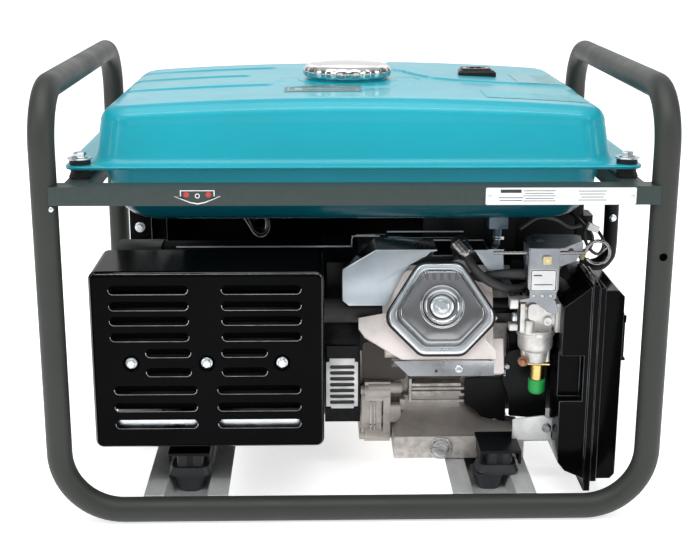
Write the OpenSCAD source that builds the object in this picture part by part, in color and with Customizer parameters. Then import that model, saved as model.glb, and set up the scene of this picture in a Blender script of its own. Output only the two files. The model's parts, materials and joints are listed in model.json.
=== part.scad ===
// Portable open-frame petrol generator.
// Origin: middle of the footprint on the floor. X along the crankshaft, Y from the
// cylinder-head side towards the control-panel side, Z up. Millimetres.

/* [Frame] */
// Distance between the left and right leg centres
leg_span = 655; // [600:5:760]
// Distance between the near and far hoop centres
hoop_gap = 500; // [480:5:620]
// Outer diameter of the frame tube
tube_d = 28; // [25:1:34]
// Wall thickness of the frame tube
tube_wall = 2; // [1.5:0.5:3]
// Height of the handle tube centre above the floor
handle_z = 482; // [470:2:560]
// Centreline bend radius at the bottom corners
bottom_bend = 69; // [55:1:90]
// Centreline bend radius at the handle corners
handle_bend = 60; // [45:1:75]

/* [Rails] */
// Bottom face height of the tank rails
rail_z = 365; // [360:1:372]
// Height of the rail box section
rail_h = 20; // [16:1:20]
// Rail sheet thickness
rail_wall = 2; // [1:0.5:3]

/* [Tank] */
// Height of the upper shell above the seam
tank_up = 70; // [40:2:78]
// Depth of the lower shell below the seam
tank_down = 70; // [40:2:72]
// Tank sheet thickness
tank_wall = 1.5; // [1:0.5:2.5]

/* [Engine] */
// Height of the crank axis above the floor
crank_z = 150; // [146:1:152]
// Angle of the cylinder above the horizontal
cylinder_tilt = 24; // [20:1:26]
// Cylinder bore diameter
bore_d = 88; // [68:1:90]
// Crank throw
throw = 32; // [24:1:34]

/* [Heat shield] */
// Height of each louvre slot
louvre_h = 4; // [2.5:0.5:6]

/* [Controls] */
// Diameter of the socket lids
lid_d = 62; // [50:2:64]

/* [Hidden] */
$fn = 64;
lx = leg_span / 2;
hy = hoop_gap / 2;
tr = tube_d / 2;
ti = tr - tube_wall;
bz = tr;
seam_z = handle_z - handle_bend;
rail_t = rail_z + rail_h;
rail_f = hy + 12.8;
rail_b = hy - 12;
seat_x = 296;
seat_y = 207;
tank_z = rail_t + 12;
tank_t = tank_z + tank_up;
ex = 100;
kit_hole_z = 308;
kit_hole_r = 4.5;
bore_r = bore_d / 2;
eps = 1;

// ---------- helpers ----------
module box(x0, x1, y0, y1, z0, z1) {
  translate([x0, y0, z0]) cube([x1 - x0, y1 - y0, z1 - z0]);
}

module cyl_x(x0, x1, y, z, r) {
  translate([x0, y, z]) rotate([0, 90, 0]) cylinder(h = x1 - x0, r = r);
}

module cyl_y(x, y0, y1, z, r) {
  translate([x, y0, z]) rotate([-90, 0, 0]) cylinder(h = y1 - y0, r = r);
}

module cyl_z(x, y, z0, z1, r) {
  translate([x, y, z0]) cylinder(h = z1 - z0, r = r);
}

module hex_y(x, y0, y1, z, r) {
  translate([x, y0, z]) rotate([-90, 0, 0]) cylinder(h = y1 - y0, r = r, $fn = 6);
}

module four(x, y) {
  for (sx = [-1, 1]) {
    for (sy = [-1, 1]) {
      translate([sx * x, sy * y, 0]) children();
    }
  }
}

// rounded rectangle made of plain shapes
module rounded(w, d, r) {
  square([w, d - 2 * r], center = true);
  square([w - 2 * r, d], center = true);
  for (sx = [-1, 1]) {
    for (sy = [-1, 1]) {
      translate([sx * (w / 2 - r), sy * (d / 2 - r)]) circle(r);
    }
  }
}

// local frame of the cylinder: z runs outwards along the bore, y points up
module on_cylinder() {
  translate([ex, 0, crank_z]) rotate([90 - cylinder_tilt, 0, 0]) children();
}

// ---------- frame ----------
module hoop_rod(r, over) {
  cyl_x(-(lx - bottom_bend), lx - bottom_bend, 0, bz, r);
  for (s = [0, 1]) {
    mirror([s, 0, 0]) {
      translate([lx - bottom_bend, 0, bz + bottom_bend])
        rotate([90, 0, 0]) rotate([0, 0, -90])
          rotate_extrude(angle = 90) translate([bottom_bend, 0]) circle(r);
      cyl_z(lx, 0, bz + bottom_bend, seam_z + over, r);
    }
  }
}

module hoop() {
  difference() {
    hoop_rod(tr, 0);
    hoop_rod(ti, eps);
  }
}

module near_hoop() {
  color("#2e3436") difference() {
    translate([0, -hy, 0]) hoop();
    cyl_y(lx, -hy - tr - eps, -hy + tr + eps, kit_hole_z, kit_hole_r);
  }
}

module far_hoop() {
  color("#2e3436") translate([0, hy, 0]) hoop();
}

module handle_rod(r, over) {
  cyl_y(0, -(hy - handle_bend), hy - handle_bend, handle_z, r);
  for (s = [0, 1]) {
    mirror([0, s, 0]) {
      translate([0, hy - handle_bend, seam_z]) rotate([90, 0, 90])
        rotate_extrude(angle = 90) translate([handle_bend, 0]) circle(r);
      cyl_z(0, hy, seam_z - over, seam_z, r);
    }
  }
}

module handle() {
  difference() {
    handle_rod(tr, 0);
    handle_rod(ti, eps);
  }
}

module left_handle() {
  color("#2e3436") translate([-lx, 0, 0]) handle();
}

module right_handle() {
  color("#2e3436") translate([lx, 0, 0]) handle();
}

// box rail between the two legs of a hoop, coped round the tubes
module rail() {
  difference() {
    box(-(lx - 6.5), lx - 6.5, -rail_f, -rail_b, rail_z, rail_t);
    box(-lx, lx, -rail_f + rail_wall, -rail_b - rail_wall,
      rail_z + rail_wall, rail_t - rail_wall);
    for (s = [-1, 1]) {
      cyl_z(s * lx, -hy, rail_z - eps, rail_t + eps, tr);
    }
  }
}

module near_rail() {
  color("#2b2f31") rail();
}

module far_rail() {
  color("#2b2f31") mirror([0, 1, 0]) rail();
}

module side_rails() {
  color("#2b2f31") difference() {
    for (s = [-1, 1]) {
      box(s * seat_x - 12, s * seat_x + 12, -rail_b, rail_b, rail_z, rail_t);
    }
    for (s = [-1, 1]) {
      box(s * seat_x - 12 + rail_wall, s * seat_x + 12 - rail_wall, -rail_b - eps,
        rail_b + eps, rail_z + rail_wall, rail_t - rail_wall);
    }
    four(seat_x, seat_y) cyl_z(0, 0, rail_t - rail_wall - eps, rail_t + eps, 4);
  }
}

// hat-section floor channel
module channel(xc) {
  translate([xc, hy - 4, 0]) rotate([90, 0, 0]) linear_extrude(hoop_gap - 8)
    polygon([[-47.5, 28.5], [-24.5, 28.5], [-19.5, 10.5], [19.5, 10.5], [24.5, 28.5],
      [47.5, 28.5], [47.5, 26], [26.8, 26], [21.5, 8], [-21.5, 8], [-26.8, 26],
      [-47.5, 26]]);
}

module cross_members() {
  color("#b9bcba") difference() {
    union() {
      channel(-190);
      channel(159);
    }
    for (s = [-1, 1]) {
      cyl_x(-lx, lx, s * hy, bz, tr);
    }
  }
}

// ---------- rubber mounts ----------
module foot(x, y) {
  translate([x, y, 0]) difference() {
    box(-29, 29, -21, 21, 28.5, 38);
    box(-26, 26, -22, 22, 20, 35.5);
  }
}

module mount_feet() {
  color("#1d1f20") {
    for (y = [-180, 180]) {
      foot(-190, y);
      foot(159, y);
    }
  }
}

module mount_rubbers() {
  color("#141414") {
    for (y = [-180, 180]) {
      for (x = [-190, 171]) {
        cyl_z(x, y, 38, 57, 14);
      }
    }
  }
}

module mount_arm(x, y0, ear) {
  box(x - 24, x + 24, -202, y0, 57, 60.5);
  box(x - 24, x - 21, -202, -160, ear, 57);
  box(x + 21, x + 24, -202, -160, ear, 57);
}

module mount_brackets() {
  color("#1d1f20") {
    for (s = [0, 1]) {
      mirror([0, s, 0]) {
        mount_arm(171, s == 0 ? -142 : -88, 44);
        difference() {
          mount_arm(-190, -50, 50);
          cyl_x(-300, 0, 0, crank_z, 110);
        }
      }
    }
  }
}

// ---------- tank ----------
module tank_body(up, g) {
  intersection() {
    translate([0, 0, -eps * g]) linear_extrude(up + eps * g)
      rounded(566 - 2 * tank_wall * g, 412 - 2 * tank_wall * g, 34);
    rotate([90, 0, 0]) translate([0, 0, -260]) linear_extrude(520) intersection() {
      polygon([[-283 + tank_wall * g, -2], [283 - tank_wall * g, -2],
        [277 - tank_wall * g, up], [-277 + tank_wall * g, up]]);
      translate([0, up / 2 - 60]) rounded(570, up + 120, 24);
    }
    rotate([90, 0, 90]) translate([0, 0, -300]) linear_extrude(600) intersection() {
      polygon([[-206 + tank_wall * g, -2], [206 - tank_wall * g, -2],
        [190 - tank_wall * g, up], [-190 + tank_wall * g, up]]);
      translate([0, up / 2 - 60]) rounded(416, up + 120, 24);
    }
  }
}

module flange(t) {
  difference() {
    linear_extrude(t) rounded(622, 450, 16);
    translate([0, 0, -eps]) linear_extrude(t + 2 * eps)
      rounded(560, 406, 32);
    four(seat_x, seat_y) cyl_z(0, 0, -eps, t + eps, 7.5);
  }
}

module tank_top() {
  color("#22a9bc") translate([0, 0, tank_z]) {
    difference() {
      union() {
        tank_body(tank_up, 0);
        flange(tank_wall);
      }
      tank_body(tank_up - tank_wall, 1);
      cyl_z(-4, -15, 0, tank_up + eps, 38);
      cyl_z(160, 52, 0, tank_up + eps, 17);
    }
  }
}

module tank_bottom() {
  color("#22a9bc") translate([0, 0, tank_z]) mirror([0, 0, 1]) {
    difference() {
      union() {
        intersection() {
          linear_extrude(tank_down) rounded(550, 396, 40);
          rotate([90, 0, 0]) translate([0, 0, -260]) linear_extrude(520)
            translate([0, tank_down / 2 - 60]) rounded(550, tank_down + 120, 44);
          rotate([90, 0, 90]) translate([0, 0, -300]) linear_extrude(600)
            translate([0, tank_down / 2 - 60]) rounded(396, tank_down + 120, 44);
        }
        difference() {
          linear_extrude(tank_wall) rounded(622, 450, 16);
          four(seat_x, seat_y) cyl_z(0, 0, -eps, 5, 7.5);
        }
      }
      translate([0, 0, -eps]) intersection() {
        linear_extrude(tank_down + eps - tank_wall)
          rounded(550 - 2 * tank_wall, 396 - 2 * tank_wall, 38.5);
        rotate([90, 0, 0]) translate([0, 0, -260]) linear_extrude(520)
          translate([0, tank_down / 2 - 60])
            rounded(550 - 2 * tank_wall, tank_down + 120 - 2 * tank_wall, 42.5);
        rotate([90, 0, 90]) translate([0, 0, -300]) linear_extrude(600)
          translate([0, tank_down / 2 - 60])
            rounded(396 - 2 * tank_wall, tank_down + 120 - 2 * tank_wall, 42.5);
      }
      cyl_z(172, -105, tank_down - 5, tank_down + 5, 6);
    }
  }
}

module filler_neck() {
  color("#22a9bc") translate([-4, -15, 0]) difference() {
    cyl_z(0, 0, tank_t, tank_t + 14, 46);
    cyl_z(0, 0, tank_t - eps, tank_t + 15, 38);
  }
}

module fuel_cap() {
  color("#c9ccce") translate([-4, -15, 0]) {
    difference() {
      union() {
        cyl_z(0, 0, tank_t + 5, tank_t + 19, 52);
        for (i = [0:23]) {
          rotate([0, 0, i * 15]) cyl_z(50.2, 0, tank_t + 5, tank_t + 16, 2.8);
        }
        cyl_z(0, 0, tank_t + 19, tank_t + 21, 44);
      }
      cyl_z(0, 0, tank_t + 4, tank_t + 15, 47);
    }
    difference() {
      cyl_z(0, 0, tank_t + 6, tank_t + 15, 36);
      cyl_z(0, 0, tank_t + 5, tank_t + 12, 32);
    }
  }
}

module fuel_gauge() {
  color("#151617") translate([160, 52, 0]) {
    difference() {
      box(-23, 23, -21, 21, tank_t, tank_t + 10);
      box(-15, 15, -9, 9, tank_t + 8, tank_t + 11);
    }
    cyl_z(0, 0, tank_t - 8, tank_t, 16.5);
  }
}

module tank_bolts() {
  color("#c4c6c8") four(seat_x, seat_y) {
    cyl_z(0, 0, tank_z + 8, tank_z + 10, 11);
    cylinder_hex(tank_z + 10, tank_z + 16, 7.5);
    cyl_z(0, 0, rail_t - 12, tank_z + 8, 4);
    cylinder_hex(rail_t - 9, rail_t - 3, 7);
  }
}

module cylinder_hex(z0, z1, r) {
  translate([0, 0, z0]) cylinder(h = z1 - z0, r = r, $fn = 6);
}

module tank_grommets() {
  color("#1a1a1a") four(seat_x, seat_y) difference() {
    union() {
      translate([0, 0, rail_t]) cylinder(h = tank_z - tank_wall - rail_t, r1 = 12, r2 = 10);
      cyl_z(0, 0, tank_z - tank_wall, tank_z + tank_wall, 7.5);
      cyl_z(0, 0, tank_z + tank_wall, tank_z + 8, 11);
    }
    cyl_z(0, 0, rail_t - eps, tank_z + 9, 4);
  }
}

module fuel_valve() {
  color("#a9a08a") translate([172, -105, 0]) {
    difference() {
      union() {
        cyl_z(0, 0, 324, tank_z - tank_down, 11);
        cyl_z(0, 0, tank_z - tank_down, tank_z - tank_down + 12, 6);
        box(-11, 11, -9, 9, 304, 324);
        cyl_z(0, 0, 294, 304, 5);
      }
      cyl_z(0, 0, 280, tank_z, 2.5);
      cyl_y(0, 2, 12, 314, 4.4);
    }
  }
}

module fuel_valve_lever() {
  color("#a33a2c") translate([172, -105, 0]) {
    cyl_y(0, 3, 9.6, 314, 4);
    cyl_y(0, 9.6, 13.6, 314, 8);
    box(-4, 26, 9.8, 13.4, 310, 318);
  }
}

// ---------- engine ----------
module crankcase() {
  color("#8f8b83") difference() {
    union() {
      box(47, 190, -88, 88, 57, 222);
      box(50, 188, -150, 118, 30, 57);
      box(187, 206, -150, -104, 30, 57);
      for (z = [84, 92, 100]) {
        box(70, 146, -104, -88, z, z + 3);
      }
      on_cylinder() {
        translate([0, 0, 60]) cylinder(h = 72, r = 52);
        for (z = [100, 108, 116, 124]) {
          translate([-52, -54, z]) cube([114, 108, 3]);
        }
      }
    }
    cyl_x(60, 178, 0, crank_z, 66);
    cyl_x(40, 61, 0, crank_z, 60);
    cyl_x(170, 200, 0, crank_z, 18);
    on_cylinder() translate([0, 0, 40]) cylinder(h = 100, r = bore_r);
    cyl_y(70, 100, 130, 46, 9);
  }
}

module crankcase_cover() {
  color("#97938b") difference() {
    union() {
      cyl_x(10, 47, 0, crank_z, 104);
      box(10, 47, -100, 100, 34, 90);
      box(16, 47, -114, -80, 90, 114);
      for (p = [[-106, 45], [-108, 102], [106, 45], [0, 248]]) {
        cyl_x(16, 47, p[0], p[1], 10);
        cyl_x(11, 16, p[0], p[1], 6);
      }
    }
    cyl_x(22, 48, 0, crank_z, 66);
    cyl_x(0, 30, 0, crank_z, 18);
  }
}

module head_outline() {
  polygon([[-24, 50], [24, 50], [65, -14], [24, -55], [-24, -55], [-65, -14]]);
}

module cylinder_head() {
  color("#9b978f") difference() {
    on_cylinder() {
      translate([-54, -46, 132]) cube([108, 90, 44]);
      for (z = [132, 141, 150, 159, 168]) {
        translate([-62, -53, z]) cube([124, 104, 3]);
      }
      translate([0, 0, 176]) linear_extrude(12.5) head_outline();
      translate([0, 0, 173]) linear_extrude(9)
        polygon([[-94, -12], [-94, -24], [-87, -34], [-58, -52], [-45, -60], [63, -60],
          [63, -50], [50, -36], [40, -10], [-62, -6]]);
      translate([61, -75, 140]) cube([13, 40, 26]);
      translate([-66, -18, 136]) cube([13, 36, 38]);
      translate([53, -18, 136]) cube([9, 36, 38]);
    }
    on_cylinder() {
      translate([0, 0, 131]) cylinder(h = 12, r = bore_r);
      translate([28, 13, 160]) rotate([-90, 0, 0]) cylinder(h = 60, r = 7);
      translate([28, 49.8, 160]) rotate([-90, 0, 0]) cylinder(h = 10, r = 11);
      translate([-70, 0, 158]) rotate([0, 90, 0]) cylinder(h = 40, r = 12);
      translate([30, 0, 158]) rotate([0, 90, 0]) cylinder(h = 40, r = 12);
      translate([0, 0, 178]) cylinder(h = 20, r = 34);
    }
  }
}

module cover_gasket() {
  color("#1b1b1b") on_cylinder() difference() {
    translate([0, 0, 188.5]) linear_extrude(1.5) head_outline();
    translate([0, 0, 188]) cylinder(h = 3, r = 34);
  }
}

module cover_step(z0, z1, k) {
  translate([0, 0, z0]) linear_extrude(z1 - z0) scale([k, k]) head_outline();
}

module valve_cover() {
  color("#c8cbcc") on_cylinder() difference() {
    union() {
      cover_step(190, 194, 1);
      cover_step(194, 206, 0.94);
      cover_step(206, 210, 0.88);
      for (i = [-2:2]) {
        translate([i * 9 - 2, 27, 209]) cube([4, 14, 3]);
      }
    }
    cover_step(189, 204, 0.88);
    translate([0, -2, 207.5]) cylinder(h = 5, r = 24);
    translate([0, -2, 200]) cylinder(h = 20, r = 4);
  }
}

module engine_bolts() {
  color("#b8babb") {
    on_cylinder() {
      translate([0, -2, 207.5]) cylinder(h = 6, r = 9, $fn = 6);
      translate([0, -2, 190]) cylinder(h = 17.5, r = 4);
    }
    hex_y(106, -158, -150, 43, 10);
    for (x = [-248, -164.4, -80.7]) {
      cyl_y(x, -227, -225, 178, 10);
      hex_y(x, -232, -227, 178, 7);
    }
  }
}

// bent sheet round the top of the head, drawn as its outline seen along the bore
module shroud_band() {
  polygon([[-112, 16], [-112, 44], [-83, 61], [-69, 67.5], [75, 67.5], [75, 44],
    [73.5, 44], [73.5, 66], [-68.6, 66], [-82.2, 59.6], [-110.5, 43], [-110.5, 16]]);
}

module head_shroud() {
  color("#c4c8ca") on_cylinder() difference() {
    union() {
      translate([0, 0, 118]) linear_extrude(60) shroud_band();
      translate([-53, 66, 64]) cube([128, 1.5, 60]);
      translate([0, 0, 176.5]) linear_extrude(1.5)
        polygon([[-112, 9], [-105, 3], [-62, 3], [-43, 39], [-35, 50], [-14, 61], [-8, 67],
          [-69, 67], [-83, 61], [-112, 44]]);
      translate([0, 0, 176.5]) linear_extrude(1.5)
        polygon([[42, 67], [75, 67], [75, 44], [58, 42]]);
    }
    translate([-5, 60, 144]) cube([46, 12, 40]);
  }
  color("#c4c8ca") shroud_roof();
}

// level roof behind the front plates, with a flank falling to the left
module shroud_roof() {
  difference() {
    union() {
      translate([0, 0, 283]) linear_extrude(1.5)
        polygon([[27, -135], [176, -135], [176, -110], [150, -50], [47, -50], [27, -80]]);
      translate([27, 0, 284.5]) rotate([0, -28, 0]) translate([0, 0, -1.5]) linear_extrude(1.5)
        polygon([[0.4, -135], [0.4, -80], [-44, -144]]);
    }
    box(98, 158, -160, -86, 240, 300);
  }
}

module lower_baffle() {
  color("#bfc2c2") on_cylinder() {
    translate([-54, -63.5, 122]) cube([114, 1.5, 62]);
    translate([0, 0, 182.5]) linear_extrude(1.5)
      polygon([[-54, -63], [60, -63], [60, -79], [-37, -79]]);
  }
}

module spark_plug() {
  color("#d9d7d0") on_cylinder() translate([28, 0, 160]) rotate([-90, 0, 0]) {
    translate([0, 0, 14]) cylinder(h = 36, r = 6.4);
    translate([0, 0, 50]) cylinder(h = 8, r = 10, $fn = 6);
    translate([0, 0, 58]) cylinder(h = 14, r = 5);
  }
}

module plug_cap() {
  color("#161616") {
    on_cylinder() translate([28, 0, 160]) rotate([-90, 0, 0]) difference() {
      union() {
        translate([0, 0, 60]) cylinder(h = 26, r = 11);
        translate([0, 0, 78]) rotate([0, 90, 0]) cylinder(h = 24, r = 7);
      }
      translate([0, 0, 58]) cylinder(h = 14, r = 5);
    }
  }
}

// ---------- intake ----------
ty = -159;
tz = 216;
airbox_top = 260;
latch_z = 218;

module intake_flange() {
  color("#26282a") difference() {
    union() {
      cyl_x(162, 186, ty + 13, tz - 2, 15);
      box(186, 190, ty - 26, ty + 26, tz - 15, tz + 15);
    }
    cyl_x(150, 200, ty + 6, tz, 8);
  }
}

module carburettor() {
  color("#a7a6a0") difference() {
    union() {
      cyl_x(190, 236, ty, tz, 19);
      box(190, 195, ty - 26, ty + 26, tz - 17, tz + 17);
      box(231, 236, ty - 26, ty + 26, tz - 17, tz + 17);
      box(198, 228, ty - 16, ty + 16, tz - 19, tz + 20);
      cyl_z(201, ty - 18, tz - 19, tz - 4, 7);
    }
    cyl_x(180, 240, ty, tz, 12);
    cyl_z(226, ty, tz - 15, tz + 30, 2.4);
    cyl_z(202, ty, tz - 15, tz + 30, 2.4);
  }
}

module fuel_bowl() {
  color("#b4b3ad") translate([212.8, ty, 0]) {
    cyl_z(0, 0, tz - 26, tz - 19, 22.5);
    cyl_z(0, 0, tz - 44, tz - 26, 20.5);
    cyl_z(0, 0, tz - 60, tz - 44, 16.5);
  }
}

module fuel_solenoid() {
  color("#b9963f") translate([216.5, ty, 0]) {
    cyl_z(0, 0, tz - 63, tz - 60, 15);
    cyl_z(0, 0, tz - 82, tz - 63, 8);
    cyl_z(0, 0, tz - 100, tz - 82, 10);
  }
}

module choke_shaft() {
  color("#8b7440") {
    cyl_z(226, ty, tz - 11, tz + 28, 1.8);
    cyl_y(226, ty - 0.7, ty + 0.7, tz, 11.4);
    box(223, 229, ty - 20, ty + 4, tz + 28, tz + 30);
  }
}

module throttle_arm() {
  color("#2a2a2a") {
    cyl_z(202, ty, tz - 11, tz + 24, 1.8);
    cyl_x(201.3, 202.7, ty, tz, 11.4);
    box(199, 205, ty - 4, ty + 36, tz + 24, tz + 26);
    cyl_z(202, ty, tz + 24, tz + 27, 6);
  }
}

module choke_rod() {
  color("#c0c2c3") {
    cyl_x(158, 262, -180, 292, 2);
    translate([275.5, -180, 292]) rotate([90, 0, 0]) rotate([0, 0, -150])
      rotate_extrude(angle = 330) translate([13.5, 0]) circle(2);
  }
}

module control_bracket() {
  color("#c5c6c3") difference() {
    union() {
      box(196, 231, -191, -189.5, 236, 300);
      translate([0, 0, 298.5]) linear_extrude(1.5)
        polygon([[196, -189.5], [236, -189.5], [262, -158], [266, -126], [212, -122],
          [196, -138]]);
      box(196, 197.5, -189.5, -150, 262, 298.5);
      box(234.5, 236, -189.5, -170, 278, 298.5);
      box(231, 262, -157.5, -156, 272, 298.5);
      box(198, 228, -189.5, -170, tz + 20, tz + 21.5);
    }
    cyl_x(190, 240, -180, 292, 2.4);
  }
}

// ---------- air cleaner ----------
module airbox_slab(y0, y1, outline) {
  rotate([90, 0, 0]) translate([0, 0, -y1]) linear_extrude(y1 - y0) polygon(outline);
}

module airbox_base() {
  color("#101112") difference() {
    union() {
      airbox_slab(-200, -112, [[236, 61], [236, 233], [247, 241], [261, 252], [266, 257],
        [272, 257], [272, 25], [266, 25], [246, 34], [238, 44]]);
      airbox_slab(-204, -108, [[268, airbox_top], [276, airbox_top], [276, 10], [268, 10]]);
    }
    difference() {
      airbox_slab(-198, -114, [[238, 61.5], [238, 232], [248.2, 239.4], [262.6, 250.8],
        [266.8, 255], [278, 255], [278, 27], [266.6, 27], [247.2, 35.6], [239.8, 44.8]]);
      box(230, 264, -210, -182, 119, 177);
    }
    box(230, 262, -210, -184, 121, 175);
    cyl_x(230, 240, ty, tz, 13);
  }
}

module airbox_cover() {
  color("#0d0e0f") difference() {
    union() {
      airbox_slab(-204, -108, [[276, 257], [283, 257], [283, 22], [276, 22]]);
      airbox_slab(-200, -112, [[276, 253], [298, 253], [305, 246], [305, 30], [300, 24],
        [276, 24]]);
      for (y = [-194, -126]) {
        for (d = [0, 10]) {
          box(304, 310, y + d, y + d + 2, latch_z - 5, latch_z + 4);
        }
      }
    }
    airbox_slab(-198, -114, [[272, 251], [297.2, 251], [303, 245.2], [303, 31], [299, 26],
      [272, 26]]);
  }
}

module filter_element() {
  color("#c9b27a") box(238, 300, -178, -122, 66, 196);
}

module latch(y) {
  cyl_y(307.8, y + 2.3, y + 9.7, latch_z, 2);
  box(306.3, 309.3, y + 2.3, y + 9.7, latch_z - 48, latch_z - 1);
  box(306.3, 311.3, y + 2.3, y + 9.7, latch_z - 51, latch_z - 48);
}

module near_latch() {
  color("#b8babb") latch(-194);
}

module far_latch() {
  color("#b8babb") latch(-126);
}

// ---------- fan side ----------
module fan_housing() {
  color("#17191a") difference() {
    union() {
      cyl_x(190, 266, 0, crank_z, 108);
      box(190, 240, -96, 96, crank_z, 262);
    }
    cyl_x(189, 264, 0, crank_z, 105.5);
    box(189, 238, -93.5, 93.5, crank_z, 259.5);
    cyl_x(260, 270, 0, crank_z, 70);
  }
}

module recoil_housing() {
  color("#1f2122") difference() {
    union() {
      cyl_x(266, 270, 0, crank_z, 98);
      translate([270, 0, crank_z]) rotate([0, 90, 0]) cylinder(h = 26, r1 = 92, r2 = 82);
      cyl_y(284, 60, 98, crank_z + 50, 9);
    }
    cyl_x(265, 293, 0, crank_z, 70);
    for (a = [0:20:340]) {
      translate([0, 0, crank_z]) rotate([a, 0, 0]) box(290, 300, 32, 62, -3, 3);
    }
    cyl_y(284, 40, 100, crank_z + 50, 3);
  }
}

module recoil_handle() {
  color("#141414") {
    cyl_y(284, -46, 104, crank_z + 50, 2);
    cyl_y(284, 98.5, 106, crank_z + 50, 8);
    cyl_z(284, 112, crank_z + 12, crank_z + 88, 9);
  }
}

module crankshaft() {
  color("#8e9091") {
    cyl_x(-278, 10, 0, crank_z, 12.5);
    cyl_x(10, 80, 0, crank_z, 17.5);
    cyl_x(80, 98, 0, crank_z, 58);
    cyl_x(98, 122, 0, crank_z + throw, 17);
    cyl_x(122, 140, 0, crank_z, 58);
    cyl_x(140, 200, 0, crank_z, 17.5);
    cyl_x(200, 262, 0, crank_z, 12.5);
  }
}

module flywheel() {
  color("#77797a") difference() {
    union() {
      cyl_x(204, 226, 0, crank_z, 90);
      cyl_x(226, 258, 0, crank_z, 24);
      for (a = [0:30:330]) {
        translate([0, 0, crank_z]) rotate([a, 0, 0]) box(226, 246, 46, 88, -1.5, 1.5);
      }
    }
    cyl_x(190, 270, 0, crank_z, 12.5);
  }
}

// ---------- alternator ----------
module rotor() {
  color("#8a5a35") difference() {
    union() {
      cyl_x(-225, -60, 0, crank_z, 58);
      cyl_x(-50, -40, 0, crank_z, 70);
      cyl_x(-60, -50, 0, crank_z, 24);
    }
    cyl_x(-230, 0, 0, crank_z, 12.5);
  }
}

module stator_housing() {
  color("#26292b") difference() {
    cyl_x(-235, -34, 0, crank_z, 110);
    cyl_x(-240, 0, 0, crank_z, 60);
    cyl_x(-70, 0, 0, crank_z, 98);
    cyl_x(-240, -190, 0, crank_z, 100);
  }
}

module vent_bell() {
  color("#aeb1b2") difference() {
    union() {
      cyl_x(-34, 10, 0, crank_z, 113);
      box(-32, 10, -115, -60, 72, 150);
    }
    cyl_x(-35, 11, 0, crank_z, 98);
    for (i = [0:7]) {
      box(-26, 5, -120, -50, 76 + i * 8.5, 80.5 + i * 8.5);
      box(-26, 5, 50, 120, 76 + i * 8.5, 80.5 + i * 8.5);
    }
  }
}

module alternator_cover() {
  color("#1a1c1d") difference() {
    cyl_x(-290, -235, 0, crank_z, 112);
    cyl_x(-287, -234, 0, crank_z, 104);
    for (i = [-5:5]) {
      box(-300, -280, -70, 70, crank_z + i * 14 - 3, crank_z + i * 14 + 3);
    }
  }
  color("#1a1c1d") difference() {
    cyl_x(-290, -262, 0, crank_z, 24);
    cyl_x(-282, -260, 0, crank_z, 13);
  }
}

// ---------- exhaust ----------
module muffler() {
  color("#3a3633") difference() {
    union() {
      translate([-276, -168, 182]) rotate([90, 0, 90]) linear_extrude(220)
        rounded(80, 150, 34);
      cyl_x(-57, 34, -144, crank_z + 64, 14);
      for (x = [-248, -164.4, -80.7]) {
        cyl_y(x, -223.5, -200, 178, 6);
      }
    }
    translate([-274, -168, 182]) rotate([90, 0, 90]) linear_extrude(216)
      rounded(76, 146, 32);
    cyl_x(-60, 40, -144, crank_z + 64, 12);
  }
}

module louvres(z, rows) {
  for (s = rows) {
    box(s[0], s[1], -230, -220, z - louvre_h / 2, z + louvre_h / 2);
  }
}

module heat_shield() {
  color("#0e0f10") difference() {
    box(-292, -34, -225, -124, 77, 283);
    box(-290.5, -35.5, -223.5, -100, 60, 281.5);
    for (z = [208.9, 227.4, 244.6, 262.9]) {
      louvres(z, [[-270, -183], [-146.5, -59]]);
    }
    for (z = [167.9, 190.2]) {
      louvres(z, [[-231.6, -181.6], [-147.4, -96.9]]);
    }
    for (z = [106, 126.4, 146.7]) {
      louvres(z, [[-268, -176], [-153, -60]]);
    }
    box(-60, -30, -164, -120, 194, 234);
  }
}

// ---------- control panel ----------
module panel_box() {
  color("#131415") difference() {
    union() {
      box(-236, 219, 200, 240, 222, 350);
      box(-236, 20, 200, 240, 208, 222);
      box(-240, 223, 240, 242, 206, rail_z);
    }
    box(-234, 217, 202, 240, 224, 348);
    box(-234, 18, 202, 240, 210, 225);
    for (x = [-150, -50, 110]) {
      cyl_y(x, 239, 243, 270, 24);
    }
    box(28, 52, 239, 243, 291, 309);
    cyl_y(190, 199, 203, 300, 6);
  }
}

module panel_fittings() {
  color("#2a2c2e") {
    for (x = [-150, -50]) {
      difference() {
        union() {
          cyl_y(x, 242, 250, 270, 29);
          cyl_y(x, 206, 242, 270, 23.5);
          box(x - 14, x - 9, 250, 257, 301, 306);
          box(x + 9, x + 14, 250, 257, 301, 306);
          box(x - 14, x + 14, 242, 250, 296, 306);
        }
        cyl_y(x, 228, 251, 270, 20);
      }
    }
    cyl_y(110, 242, 247, 270, 28);
    cyl_y(110, 215, 242, 270, 23.5);
    cyl_y(180, 242, 262, 232, 5);
    cyl_y(180, 242, 246, 232, 9);
  }
}

module lid(x) {
  cyl_y(x, 250.5, 254, 268, lid_d / 2 - 3);
  box(x - 7, x + 7, 250.5, 256, 290, 303);
  cyl_x(x - 8.6, x + 8.6, 253.5, 303.5, 2.4);
}

module left_lid() {
  color("#30363a") lid(-150);
}

module right_lid() {
  color("#30363a") lid(-50);
}

module engine_switch() {
  color("#a02820") {
    cyl_x(29, 51, 245, 300, 7);
    box(32, 48, 245, 253.5, 297, 303);
  }
}

module dipstick() {
  color("#202122") {
    cyl_y(70, 101, 119, 46, 8.5);
    cyl_y(70, 118.5, 130, 46, 13);
    box(58, 82, 130, 138, 43, 49);
  }
}

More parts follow.
